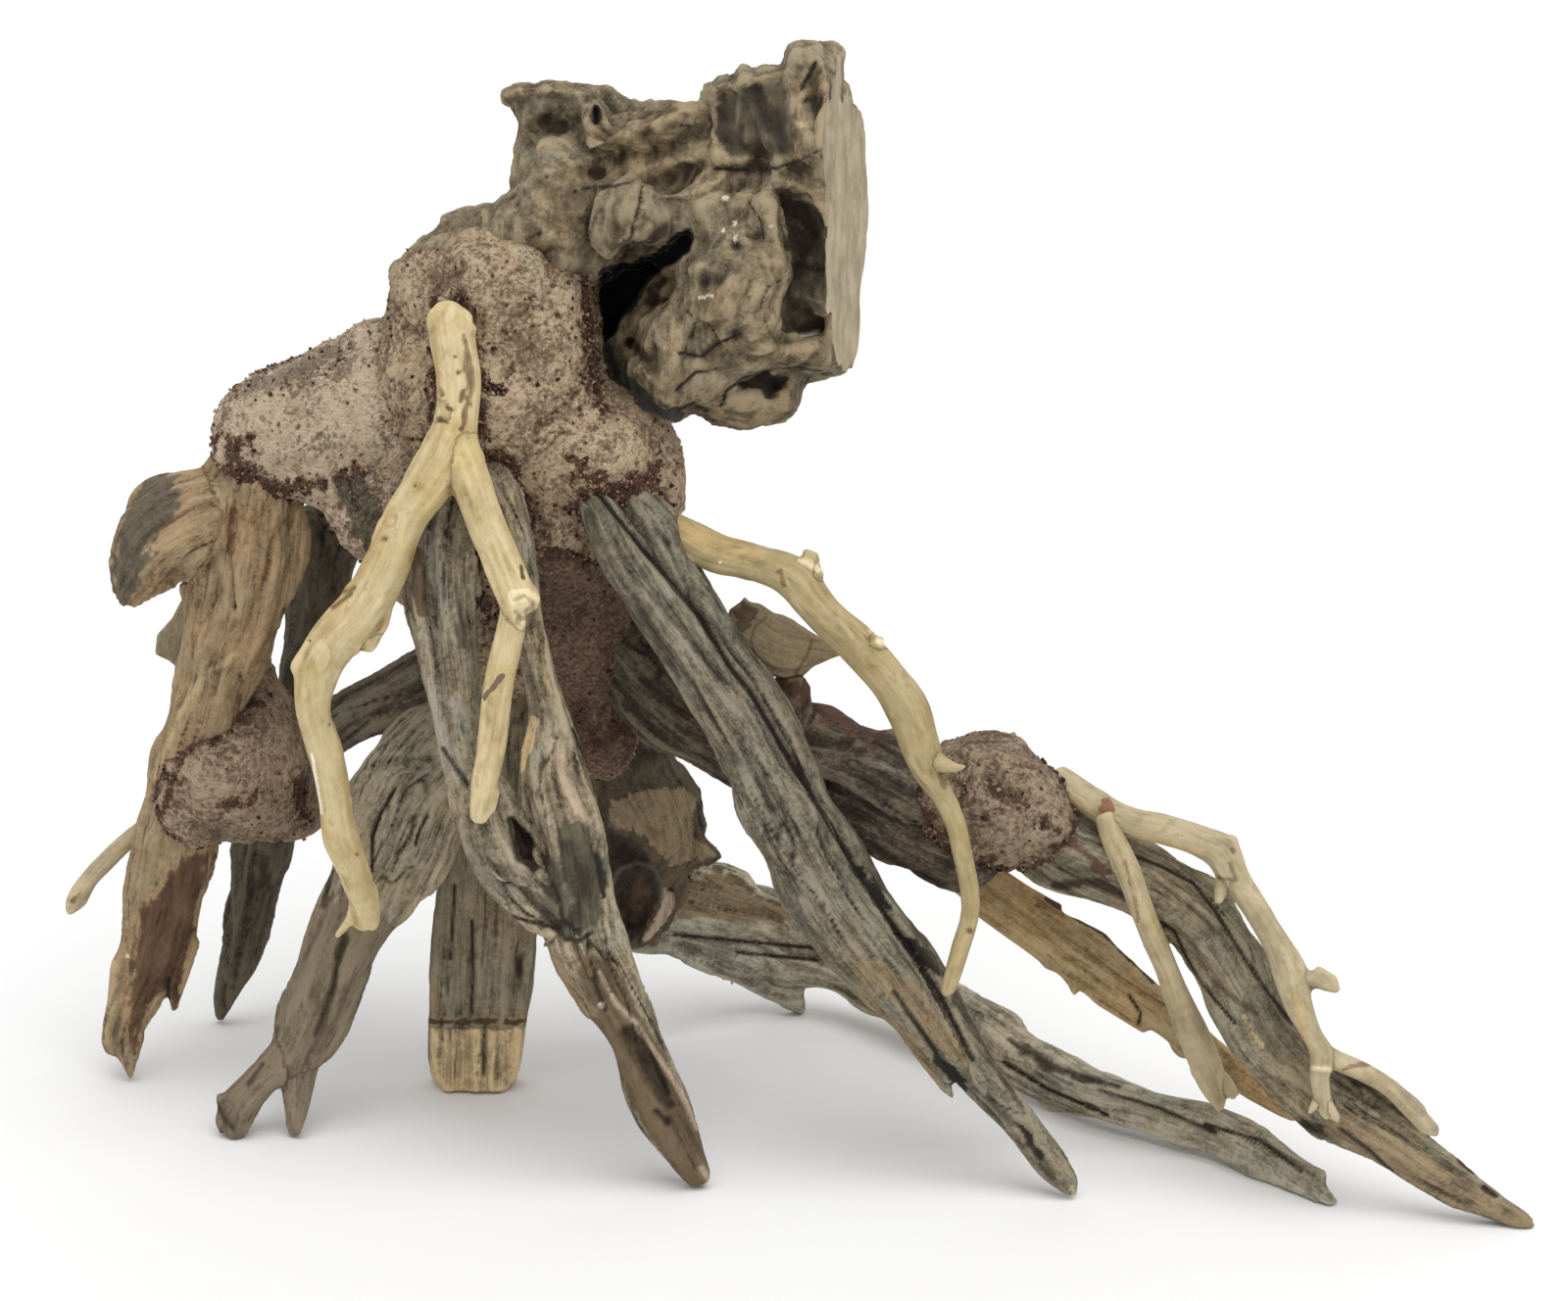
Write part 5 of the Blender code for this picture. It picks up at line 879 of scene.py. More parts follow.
# Slabs with a broken outline: half their thickness, how far behind the middle of the limb they lie, and the
# outline on the elevation
SHARDS = {
    "burl": (
        (8, 0, ((-53, 289), (-50, 290.5), (-40, 290), (-30, 290), (-18.5, 289), (-17.5, 278.5),
            (-50, 278.5))),
        (2.6, -8, ((-50.5, 250.5), (-51, 257), (-49.5, 265), (-44.5, 268.5), (-36, 271), (-36, 263.5),
            (-37.5, 257), (-39.5, 250.5), (-41, 249.5), (-42, 251), (-44.5, 248), (-46.5, 247),
            (-48, 249))),
        (2.2, -5, ((-37.5, 270.5), (-32, 269), (-26.5, 264.5), (-26, 259.5), (-34, 253), (-37, 250),
            (-40, 249), (-38.5, 257))),
        (12, 0, ((-20, 294.5), (-15.5, 296), (-12.5, 294.5), (-11, 299.5), (-8, 297.5), (1, 298.5),
            (1, 305), (9, 305.5), (10.5, 291), (10.5, 276), (0, 273), (-14, 273), (-18, 274.5),
            (-20, 283.5))),
    ),
    "low_root": (
        (3.6, 0, ((-27.5, 93.5), (-22, 96.5), (-15, 96), (-9, 93), (-8, 90), (-5, 87.5), (0, 86), (10, 82),
            (17.5, 76), (18, 66), (6.5, 66), (5, 63.5), (5, 57), (-5, 61), (-25, 71), (-30, 73), (-40, 73),
            (-36, 77), (-28, 80), (-29, 86))),
        (2.8, 0, ((117.5, 29.5), (125, 25), (130.5, 21), (135.5, 18), (138.5, 17), (138, 14.5), (139, 12),
            (138, 10), (143.5, 6.5), (139.5, 7), (134.5, 9), (129.5, 12), (125, 13), (122.5, 15),
            (117.5, 16))),
        (2.6, 0, ((65, 34), (80, 32.5), (78, 31), (74.5, 32), (70, 32.5))),
    ),
    "heart_chunk": (
        (6, 0, ((-50, 116), (-40, 118.5), (-27.5, 118), (-22.5, 117), (-21, 114), (-21, 108), (-20, 106),
            (-20, 104.5), (-22, 103.5), (-15.5, 97), (-25, 94.5), (-27.5, 93.5), (-28.5, 80), (-33, 75.5),
            (-39.5, 73), (-42.5, 77), (-50, 83.5), (-51, 101))),
    ),
    "back_plank": (
        (6, 0, ((-87, 108.5), (-64, 108.5), (-62, 91), (-64, 70), (-66, 56), (-67, 45.5), (-68.5, 39.5),
            (-75, 38.5), (-82.5, 39), (-89, 40), (-90.5, 46), (-90, 66), (-89, 83.5))),
    ),
    "tan_plank": (
        (3, 0, ((50, 98.5), (62.5, 90), (71.5, 85), (70, 84), (76, 81), (82, 77.5), (85, 74), (89.5, 70),
            (88, 69), (91, 68), (98, 61), (107, 54), (125, 39), (129.5, 33.5), (122.5, 35.5), (115.5, 39),
            (110, 43), (104, 46), (101, 46), (98.5, 48.5), (99, 51), (96, 53.5), (93, 54), (92, 52),
            (80, 59.5), (75, 64), (74, 61.5), (72, 66), (69, 69), (67, 68.5), (64.5, 71.5), (47.5, 83.5))),
    ),
    "flake_chip": (
        (1.1, 0, ((-14, 160.5), (-11, 162.5), (-10, 164), (-9, 162.5), (-6, 162), (-2.5, 159.5), (0, 159),
            (10, 153), (14.5, 151), (16, 149), (12.5, 148), (7.5, 146), (4.5, 143), (0, 143), (-4, 143.5),
            (-7.5, 146.5), (-12, 152), (-14.5, 156.5))),
    ),
    "pale_chip_left": (
        (1.2, 0, ((-150, 166), (-153, 161.5), (-160, 154), (-160.5, 149), (-157, 147.5), (-154, 145),
            (-152.5, 142), (-149.5, 145), (-147.5, 156))),
    ),
    "long_leg": (
        (4.5, 2, ((-53, 186), (-51, 191), (-47, 194), (-41.5, 194.5), (-37, 192), (-32, 186), (-25, 176),
            (-19.5, 166), (-25, 163.5), (-42, 177), (-49.5, 181.5))),
    ),
    "front_leg": (
        (2.6, 1, ((-61, 78.5), (-50, 77), (-44.5, 66), (-47, 61), (-47, 58), (-49, 56), (-51.5, 57),
            (-54, 61), (-59, 71))),
        (3, 0, ((-45, 63.5), (-34.5, 56), (-29, 46), (-25, 38), (-21.5, 26), (-18.5, 17), (-19, 14),
            (-21, 13), (-24.5, 13.5), (-28, 18), (-33, 23.5), (-37.5, 30.5), (-41, 38), (-43, 49))),
        (2.2, -3, ((-61, 156), (-58, 141), (-55, 131), (-47, 111), (-44.5, 101), (-50, 103.5), (-58.5, 130),
            (-62, 143.5))),
        (2.4, 0, ((-91, 141), (-87, 123.5), (-84, 116), (-80, 113), (-77, 116), (-81, 143.5))),
    ),
    "brown_leg": (
        (3.6, 0, ((-168, 77), (-171, 70), (-174, 50), (-172, 46.5), (-170, 48.5), (-169, 44.5), (-167, 40),
            (-166, 41), (-164.5, 46), (-163.5, 51), (-164, 54.5), (-158, 62), (-152.5, 70), (-151, 78.5))),
        (1.8, 0, ((-157.5, 68.5), (-157, 61), (-156, 57.5), (-155, 58), (-153.5, 63), (-150, 78.5))),
        (2.6, 0, ((-135.5, 181), (-124, 186), (-125, 176), (-126.5, 168.5), (-126, 163), (-127.5, 160),
            (-128, 156), (-130.5, 154.5), (-132, 157), (-134.5, 166))),
        (4, 0, ((-169.5, 176), (-171, 168.5), (-170.5, 162.5), (-168, 163), (-167, 160.5), (-162.5, 165.5),
            (-156, 168.5), (-150.5, 170), (-152.5, 176))),
    ),
    "back_left_leg": (
        (2.6, 0, ((-142, 70), (-144.5, 63.5), (-145, 55.5), (-143.5, 55), (-140, 61.5), (-137.5, 68.5),
            (-133.5, 73), (-131, 77), (-132.5, 83.5), (-140, 83.5))),
    ),
    "grey_leg_left": (
        (2.4, 0, ((-116, 77), (-108.5, 70), (-105, 70), (-107, 63.5), (-115, 47), (-117, 48), (-118, 52),
            (-120, 56))),
        (2.8, 0, ((-128, 45), (-120, 47), (-121, 36), (-123, 26.5), (-124.5, 25.5), (-126, 28.5),
            (-127.5, 36))),
        (3.4, 0, ((-145, 36.5), (-141, 38), (-134.5, 38), (-136, 31), (-139, 25.5), (-142, 26),
            (-144, 30))),
    ),
    "far_right_leg": (
        (2.8, 0, ((125, 46), (145, 45), (160, 31), (165.5, 25), (175, 17), (183.5, 10.5), (190.5, 6),
            (192, 3), (190, 1.5), (180, 5), (170, 8), (160, 13.5), (150, 20), (141, 24), (136, 25),
            (134, 26), (129.5, 30))),
    ),
    "fork_twig": (
        (2.6, 0, ((-90.5, 234.5), (-89, 237), (-87.5, 238), (-86, 237), (-84, 238), (-82.5, 236.5),
            (-81, 237), (-79, 235), (-80, 233.5), (-78.5, 232), (-81, 231), (-83.5, 228.5),
            (-88.5, 229.5))),
        (2.2, 0, ((-112, 160.5), (-100, 160), (-101, 156), (-103.5, 152), (-107.5, 150.5), (-111, 151))),
        (3, 0, ((-121.5, 153), (-126, 146), (-124, 141), (-122, 137), (-118.5, 143.5))),
        (1.3, 0, ((-110, 90), (-103.5, 90), (-103, 81.5), (-105, 78.5), (-106.5, 81), (-108.5, 78),
            (-110, 80), (-114, 76), (-115, 77), (-112, 81.5))),
        (1.6, 0, ((-79.5, 116), (-72, 114.5), (-73.5, 109), (-76, 106), (-76.5, 109.5), (-78, 105.5),
            (-80, 106.5))),
    ),
    "arch_twig": (
        (1.6, 0, ((5, 176), (9, 174.5), (10.5, 169.5), (8, 166), (4, 168.5))),
    ),
    "claw_twig": (
        (2.4, 0, ((110, 103.5), (115.5, 102.5), (117, 95.5), (114.5, 94), (110, 98))),
        (1.3, 0, ((136, 70), (141.5, 66.5), (142, 62), (134, 65))),
        (1.4, 0, ((156, 40), (161, 36), (164, 33), (162, 32), (165.5, 28.5), (167.5, 29), (167, 25.5),
            (163, 26), (154.5, 35.5))),
    ),
    "left_twig": (
        (1.1, 0, ((-179, 90), (-175, 91), (-178, 85), (-182, 82), (-184, 83.5), (-181, 87))),
    ),
}

# Each piece of wood: its dark, middle and light tones as 8-bit sRGB, the dark one also painted shade in
# grooves and hollows and the light one a painted highlight on raised edges, how far its free ends are
# splintered in millimetres, and the grid that it is melted on
WOODS = {
    "fork_twig": ((118, 94, 60), (188, 167, 123), (212, 194, 152), 0.8, 0.6),
    "arch_twig": ((86, 71, 47), (156, 138, 98), (180, 162, 123), 1.0, 0.55),
    "claw_twig": ((110, 98, 75), (158, 145, 114), (188, 173, 141), 0.6, 0.55),
    "hanging_twig": ((110, 97, 73), (160, 145, 112), (188, 172, 137), 1.5, 0.5),
    "left_twig": ((106, 94, 72), (158, 143, 113), (192, 177, 145), 1.0, 0.5),
    "long_leg": ((62, 57, 48), (118, 111, 95), (166, 157, 136), 1.4, 0.75),
    "front_leg": ((62, 56, 46), (140, 129, 108), (192, 180, 155), 1.5, 0.72),
    "brown_leg": ((104, 84, 61), (166, 141, 110), (192, 167, 133), 3.0, 0.78),
    "grey_leg_left": ((92, 83, 69), (166, 155, 132), (202, 190, 164), 2.0, 0.74),
    "back_left_leg": ((56, 51, 43), (90, 84, 70), (118, 110, 94), 2.0, 0.85),
    "cross_branch": ((64, 58, 49), (116, 107, 92), (152, 142, 125), 3.0, 0.95),
    "right_arm": ((50, 44, 37), (80, 72, 61), (134, 122, 104), 2.0, 0.92),
    "far_right_leg": ((74, 67, 55), (126, 117, 96), (172, 161, 136), 2.0, 0.74),
    "tan_plank": ((120, 100, 70), (184, 156, 113), (208, 184, 143), 1.5, 0.65),
    "low_root": ((90, 84, 71), (156, 148, 128), (206, 198, 177), 1.5, 0.8),
    "heart_chunk": ((52, 46, 39), (88, 77, 63), (118, 103, 82), 2.0, 0.85),
    "back_plank": ((88, 79, 64), (140, 128, 105), (172, 159, 134), 0.6, 0.9),
    "flake_chip": ((118, 104, 82), (156, 141, 114), (178, 163, 134), 0.5, 0.42),
    "pale_chip_left": ((120, 108, 86), (162, 149, 123), (192, 180, 152), 0.5, 0.42),
}

# Each lump: its blobs, its tones as above, the grid, and how many crumbs lie on it
LUMPS = {
    "burl": (BURL_BLOBS + BURL_DETAILS, ((62, 54, 43), (124, 111, 89), (172, 157, 129)), 0.95, 0),
    "shoulder_stump": (SHOULDER_BLOBS, ((138, 115, 93), (200, 177, 150), (218, 197, 170)), 1.0, 1024),
    "core_mortar": (CORE_BLOBS, ((102, 80, 64), (184, 158, 129), (212, 188, 156)), 1.05, 4096),
    "left_mortar": (LEFT_MORTAR_BLOBS, ((94, 74, 60), (164, 140, 116), (192, 168, 141)), 0.95, 1024),
    "right_mortar": (RIGHT_MORTAR_BLOBS, ((82, 64, 51), (144, 124, 102), (182, 161, 135)), 0.95, 1024),
}

CRUMB_TONES = ((52, 36, 29), (84, 60, 48), (112, 84, 68), (150, 124, 100))
CRUMB_SIZE = 1.2
CRUMB_CORNERS = 8

# Rounds of smoothing that take the edges off the sections of a root and of a twig
ROOT_SMOOTHING = 4
TWIG_SMOOTHING = 14

# Grids in millimetres for the first rough melting of the lumps and of what is scooped out of them
BURL_GRID = 1.5
MORTAR_GRID = 2.2
FOLD_GRID = 1.8
SPOON_GRID = 1.2
FOLD_REACH = 5.0

# What sets the noise of the woods, the lumps and the crumbs apart
SEED_STEP = 100
LUMP_SEED = 3000
CRUMB_SEED = 7

# Columns of a limb's middle line: its place, the directions across, into and along the limb, how far along
# it is, its radius, what sets the limb's pattern apart, and how far off the free end is
PLACE, SIDEWAYS, DEPTHWARD, HEADING = (slice(first, first + 3) for first in (0, 3, 6, 9))
ARC, RADIUS, LIMB_SEED, TO_END = range(12, 16)

SAWN_SPOT = Vector((SAWN_SPOT_X - MIDDLE_X, -MIDDLE_Y, 0.0))
SAWN_NORMAL = Vector((cos(SAWN_TURN), -sin(SAWN_TURN), 0.0))
OUTWARD = -np.array(INWARD)


# Meshes

def read(rows, field, width, kind=np.float32):
    """A field of all the rows of a mesh, so many numbers to a row."""
    flat = np.empty(len(rows) * width, kind)
    rows.foreach_get(field, flat)
    return flat.reshape(-1, width)


def write(rows, field, values):
    """Set a field of all the rows of a mesh."""
    rows.foreach_set(field, values.astype(np.float32).ravel())


def leave(mesh, name, kind, field, values):
    """Leave values on the corners of a mesh for its finish."""
    write(mesh.attributes.new(name, kind, "POINT").data, field, values)


def make_object(name, bm):
    """A mesh object from a bmesh, which is freed."""
    bmesh.ops.recalc_face_normals(bm, faces=bm.faces[:])
    mesh = bpy.data.meshes.new(name)
    bm.to_mesh(mesh)
    bm.free()
    made = bpy.data.objects.new(name, mesh)
    bpy.context.scene.collection.objects.link(made)
    return made


def modify(thing, kind, **settings):
    """Give an object a modifier and replace its mesh with the shape that comes out."""
    step = thing.modifiers.new(kind.lower(), kind)
    for name, value in settings.items():
        setattr(step, name, value)
    shape = bpy.data.meshes.new_from_object(thing.evaluated_get(bpy.context.evaluated_depsgraph_get()))
    thing.modifiers.clear()
    plain = thing.data
    thing.data = shape
    bpy.data.meshes.remove(plain)


def melt(thing, grid, rounds):
    """Fuse an object into one skin on a grid in millimetres, and smooth the skin."""
    modify(thing, "REMESH", mode="VOXEL", voxel_size=grid * MM)
    modify(thing, "SMOOTH", iterations=rounds)


# Shapes

def squared(value, squareness):
    """One coordinate of a rounded outline between an oval and a box."""
    return (1 if value >= 0 else -1) * abs(value) ** (2.0 / squareness)


def add_tube(bm, sides, steps):
    """A closed upright tube of radius 1, a unit to each step. Gives its corners."""
    before = set(bm.verts)
    ring = bmesh.ops.create_circle(bm, segments=sides, radius=1.0)
    rim = list({edge for vert in ring["verts"] for edge in vert.link_edges})
    bmesh.ops.spin(bm, geom=rim, axis=(0, 0, 1), cent=(0, 0, 0), dvec=(0, 0, 1), angle=0.0, steps=steps)
    corners = [vert for vert in bm.verts if vert not in before]
    open_rims = {edge for vert in corners for edge in vert.link_edges if edge.is_boundary}
    bmesh.ops.holes_fill(bm, edges=list(open_rims), sides=0)
    return corners


def add_limb(bm, stations, step, rough, seed, squareness):
    """A closed limb through stations of (right, up, away, half width, half depth). Gives its middle line."""
    sections = sections_along(stations, step)
    spots = [seen(*section[:3]) for section in sections]
    last = len(sections) - 1
    rows = []
    arc = 0.0
    for index, (place, scale) in enumerate(spots):
        before = spots[max(index - 1, 0)][0]
        heading = (spots[min(index + 1, last)][0] - before).normalized()
        sideways = heading.cross(INWARD).normalized()
        depthward = heading.cross(sideways).normalized()
        arc += (place - before).length
        radius = 0.5 * (sections[index][3] + sections[index][4]) * scale
        rows.append((*place, *sideways, *depthward, *heading, arc, radius, seed))
    for vert in add_tube(bm, LIMB_SIDES, last):
        index = round(vert.co.z)
        angle = atan2(vert.co.y, vert.co.x)
        place, scale = spots[index]
        half_width, half_depth, count = sections[index][3:6]
        spin = Vector((cos(angle), sin(angle), 0)) * WANDER_ROUND
        wander = noise.noise(spin + Vector((seed, 0, WANDER_ALONG * count)))
        reach = scale * (1.0 + rough * 2.0 * wander)
        offset = Vector(rows[index][SIDEWAYS]) * (half_width * squared(cos(angle), squareness))
        offset += Vector(rows[index][DEPTHWARD]) * (half_depth * squared(sin(angle), squareness))
        vert.co = (place + offset * reach) * MM
    return [(*row, arc - row[ARC]) for row in rows]


def add_shard(bm, half_thick, behind, outline, bones):
    """A slab with a broken outline, as far away as the limb that it is on."""
    count = len(outline)
    sheet = drawn(bones[:, PLACE])
    for vert in add_tube(bm, count, 1):
        corner = outline[round(atan2(-vert.co.x, vert.co.y) / radians(360.0 / count)) % count]
        limb_away = bones[np.linalg.norm(sheet - corner, axis=1).argmin(), 1] + MIDDLE_Y
        side = half_thick if vert.co.z > 0.5 else -half_thick
        vert.co = seen(*corner, limb_away + behind + side)[0] * MM


def make_blobs(name, blobs):
    """An object of eggs, each with its spot on the elevation and its radii across, upward and inward."""
    bm = bmesh.new()
    for spot, radii in blobs:
        place, scale = seen(*spot)
        axes = Matrix((ACROSS * radii[0], UPWARD * radii[1], INWARD * radii[2])).transposed()
        matrix = Matrix.Translation(place * MM) @ (axes * scale * MM).to_4x4()
        bmesh.ops.create_icosphere(bm, subdivisions=4, radius=1.0, matrix=matrix)
    return make_object(name, bm)


def fill_folds(thing):
    """Fill the folds between the blobs of a lump: push its skin out, fuse it, and pull it back."""
    for push in (FOLD_REACH, -FOLD_REACH):
        modify(thing, "DISPLACE", strength=push * MM, mid_level=0.0)
        melt(thing, FOLD_GRID, 6)


def scoop(thing, blobs):
    """Take blobs out of an object."""
    spoon = make_blobs("spoon", blobs)
    melt(spoon, SPOON_GRID, 2)
    modify(thing, "BOOLEAN", operation="DIFFERENCE", object=spoon)
    mesh = spoon.data
    bpy.data.objects.remove(spoon)
    bpy.data.meshes.remove(mesh)


def saw_end(thing):
    """The flat sawn end of the burl, with a crisp rim and a finish of its own."""
    bm = bmesh.new()
    bm.from_mesh(thing.data)
    everything = bm.verts[:] + bm.edges[:] + bm.faces[:]
    bmesh.ops.bisect_plane(
        bm, geom=everything, dist=1e-7, plane_co=SAWN_SPOT * MM, plane_no=SAWN_NORMAL, clear_outer=True
    )
    rim = [edge for edge in bm.edges if edge.is_boundary]
    cut = bmesh.ops.triangle_fill(bm, edges=rim, use_beauty=True)
    for edge in rim:
        edge.smooth = False
    for face in cut["geom"]:
        if isinstance(face, bmesh.types.BMFace):
            face.material_index = 1
            face.smooth = False
    bmesh.ops.recalc_face_normals(bm, faces=bm.faces[:])
    bm.to_mesh(thing.data)
    bm.free()


# Carving

def linear(colour):
    """8-bit sRGB as linear light."""
    share = np.array(colour) / 255.0
    return np.where(share <= 0.04045, share / 12.92, ((share + 0.055) / 1.055) ** 2.4)


def off_line(spots, start, end):
    """How far along a straight line from start to end each spot lies, from 0 to 1, and its gap to it."""
    run = end - start
    off = spots - start
    share = np.clip(off @ run / max(run @ run, 1e-9), 0.0, 1.0)
    return share, np.linalg.norm(off - share[:, None] * run, axis=1)


def along(spots, line):
    """How far inside a line of (right, up, half width) each spot is: 1 on the line, 0 at its edge."""
    inside = np.full(len(spots), -9.0)
    for start, end in zip(line[:-1], line[1:]):
        share, gap = off_line(spots, start[:2], end[:2])
        inside = np.maximum(inside, 1.0 - gap / (start[2] + share * (end[2] - start[2])))
    return inside


def within(spots, corners):
    """How far inside a closed outline each spot is, less than 0 outside: 1 for each 2 mm."""
    odd = np.zeros(len(spots), bool)
    nearest = np.full(len(spots), 99.0)
    for start, end in zip(corners, np.roll(corners, -1, axis=0)):
        nearest = np.minimum(nearest, off_line(spots, start, end)[1])
        if start[1] != end[1]:
            crosses = (spots[:, 1] > start[1]) != (spots[:, 1] > end[1])
            reach = (end[0] - start[0]) * (spots[:, 1] - start[1]) / (end[1] - start[1])
            odd ^= crosses & (spots[:, 0] < start[0] + reach)
    return np.where(odd, nearest, -nearest) / 2.0


def strokes_on(node):
    """Each tool used on a node, with one line of it."""
    return [(tool, line) for tool, *lines in STROKES.get(node, ()) for line in lines]


class Skin:
    """The skin of a piece while it is carved: its spots in millimetres, and what is painted on them."""

    def __init__(self, thing, bones, seed):
        self.mesh = thing.data
        self.bones = bones
        self.seed = seed
        self.spots = read(self.mesh.vertices, "co", 3).astype(float) / MM
        self.paint = np.zeros((len(self.spots), 4))
        self.crevice = np.zeros(len(self.spots))
        self.find_normals()
        self.find_grain()

    def find_normals(self):
        """Write the spots to the mesh and read its normals."""
        self.spots[:, 2] = np.maximum(self.spots[:, 2], 0.0)
        write(self.mesh.vertices, "co", self.spots * MM)
        self.mesh.update()
        self.normals = read(self.mesh.vertex_normals, "vector", 3).astype(float)

    def find_grain(self):
        """The place of each spot across, into and along its limb; a lump's grain follows slow bends."""
        if not len(self.bones):
            bends = np.stack([swell(self.spots / 24.0, self.seed + axis) for axis in range(3)], axis=1)
            self.grain = self.spots + 7.0 * bends
            return
        nearest = np.empty(len(self.spots), int)
        for first in range(0, len(self.spots), BATCH):
            off = self.spots[first:first + BATCH, None] - self.bones[None, :, PLACE]
            gap = np.sqrt((off ** 2).sum(axis=2)) - self.bones[:, RADIUS]
            nearest[first:first + BATCH] = gap.argmin(axis=1)
        own = self.bones[nearest]
        local = self.spots - own[:, PLACE]
        self.girth = own[:, RADIUS]
        self.heading = own[:, HEADING]
        ahead = (local * self.heading).sum(axis=1)
        self.to_end = own[:, TO_END] - ahead
        across = (local * own[:, SIDEWAYS]).sum(axis=1) + own[:, LIMB_SEED] * 10.0
        inward = (local * own[:, DEPTHWARD]).sum(axis=1)
        self.grain = np.stack((across, inward, own[:, ARC] + ahead), axis=1)

    def waves(self, number, sizes, spots=None):
        """Noise on the grain, or on other spots, with the size of its waves in millimetres."""
        return swell((self.grain if spots is None else spots) / sizes, self.seed + number)

    def raise_by(self, height):
        """Raise the skin by a height at each spot."""
        self.spots += self.normals * height[:, None]
        self.find_normals()

    def splinter(self, most):
        """Break the free end of each limb into strands that end at different places."""
        strands = swell(self.grain * (0.55, 0.55, 0.02), self.seed + 21)
        strands += 0.6 * swell(self.grain * (1.3, 1.3, 0.04), self.seed + 22)
        reach = most * 2.5 + 2.0
        near = np.clip(1.0 - self.to_end / reach, 0.0, 1.0)
        pull = most * np.clip(0.45 + strands, 0.0, 1.2) * near
        self.spots -= self.heading * pull[:, None]
        self.find_normals()

    def draw(self, node, carving):
        """Use the tools along the lines drawn on a node: to carve the wood, or else to paint it."""
        sheet = drawn(self.spots)
        facing = smooth_step(-0.15, 0.3, self.normals @ OUTWARD)
        moved = np.zeros(len(self.spots))
        rag = self.waves(11, (1.6, 1.6, 6.0)) + 0.5 * self.waves(12, 1.3, self.spots)
        for tool, line in strokes_on(node):
            depth, slope, ragged, colour, cover = TOOLS[tool]
            points = np.array(line if len(line) > 1 else line * 2, float)
            closed = points.shape[1] == 2
            margin = 3.0 if closed else 2.0 * points[:, 2].max()
            low = points[:, :2].min(axis=0) - margin
            high = points[:, :2].max(axis=0) + margin
            close = np.nonzero(((sheet > low) & (sheet < high)).all(axis=1))[0]
            inside = (within if closed else along)(sheet[close], points)
            form = smooth_step(0.0, slope, inside + ragged * rag[close]) * (inside > -0.9)
            if tool not in TOOLS_ALL_ROUND:
                form *= facing[close]
            if carving:
                moved[close] += depth * form
                continue
            share = (form * cover)[:, None]
            self.paint[close] = self.paint[close] * (1.0 - share) + (*linear(colour), 1.0) * share
            # Cracks drawn in the crevice colour also get painted shade along them in the finishes
            if colour is CREVICE:
                self.crevice[close] = np.maximum(self.crevice[close], form)
        if carving:
            self.spots += moved[:, None] * OUTWARD
            self.find_normals()

    def raise_grain(self, share):
        """The relief of weathered wood: arrises, flakes, fibres, grooves here and there, and slow swells."""
        slim = np.clip(self.girth / 7.0, 0.3, 1.0) * share
        bend = 1.5 * self.waves(5, (9.0, 9.0, 18.0))
        wavy = self.grain + bend[:, None] * (1.0, 1.0, 0.0)
        fibres = self.waves(0, (1.5, 1.5, 30.0), wavy)
        bundles = self.waves(1, (3.2, 3.2, 50.0), wavy)
        broad = self.waves(2, (9.0, 9.0, 24.0))
        arris = 0.35 - np.abs(self.waves(6, (7.0, 7.0, 80.0), wavy))
        stairs = 2.2 * self.waves(7, (6.0, 6.0, 26.0), wavy)
        flakes = (np.floor(stairs) + smooth_step(0.35, 0.65, stairs % 1.0)) / 2.2
        line = np.abs(self.waves(3, (5.0, 5.0, 60.0), wavy))
        open_here = smooth_step(0.0, 0.5, self.waves(4, (10.0, 10.0, 30.0)) + 0.1)
        groove = np.clip(1.0 - line / 0.1, 0.0, 1.0) ** 1.3 * open_here
        # Painted shade along the open grooves
        self.crevice = np.maximum(self.crevice, groove * min(1.0, share))
        height = 0.28 * fibres + 0.35 * bundles + 0.4 * broad + 0.9 * arris + 0.85 * flakes - 0.8 * groove
        self.raise_by(height * slim)

    def raise_knots(self):
        """The relief of a peeled twig: slow swells and a few small knots."""
        broad = self.waves(0, (6.0, 6.0, 11.0))
        knots = smooth_step(0.45, 0.9, self.waves(1, (4.0, 4.0, 9.0)))
        fibres = self.waves(2, (1.6, 1.6, 24.0))
        slim = np.clip(self.girth / 5.0, 0.3, 1.0)
        self.raise_by((0.4 * broad + 0.5 * knots + 0.12 * fibres) * slim)

    def raise_crumbs(self):
        """The relief of sawdust mortar: low lumps with grains on them, and the girth that melting took."""
        lumps = self.waves(0, 11.0, self.spots) + 0.5 * self.waves(1, 4.5, self.spots)
        grains = cell_height(self.spots / 2.2, self.seed + 2) - 0.5
        rubble = smooth_step(0.0, 0.5, self.waves(3, 9.0, self.spots) + 0.2)
        rubble *= np.abs(self.waves(4, 2.6, self.spots))
        self.raise_by(1.2 + 0.6 * lumps + 0.5 * grains + 1.1 * rubble)

    def raise_burl(self):
        """The relief of burl wood: low swells, crisp scales, folds and fine wrinkles."""
        swells = self.waves(0, 10.0, self.spots) + 0.7 * self.waves(1, 4.5, self.spots)
        wrinkle = self.waves(2, (2.4, 2.4, 9.0))
        fine = self.waves(3, (1.4, 1.4, 3.0))
        scallop = 0.3 - np.abs(self.waves(6, (6.0, 6.0, 12.0)))
        stairs = 2.4 * self.waves(7, (7.0, 7.0, 15.0))
        scales = (np.floor(stairs) + smooth_step(0.3, 0.6, stairs % 1.0)) / 2.4
        line = np.abs(self.waves(4, (8.0, 8.0, 20.0)))
        open_here = smooth_step(0.1, 0.5, self.waves(5, 13.0, self.spots))
        fold = np.clip(1.0 - line / 0.06, 0.0, 1.0) ** 1.3 * open_here
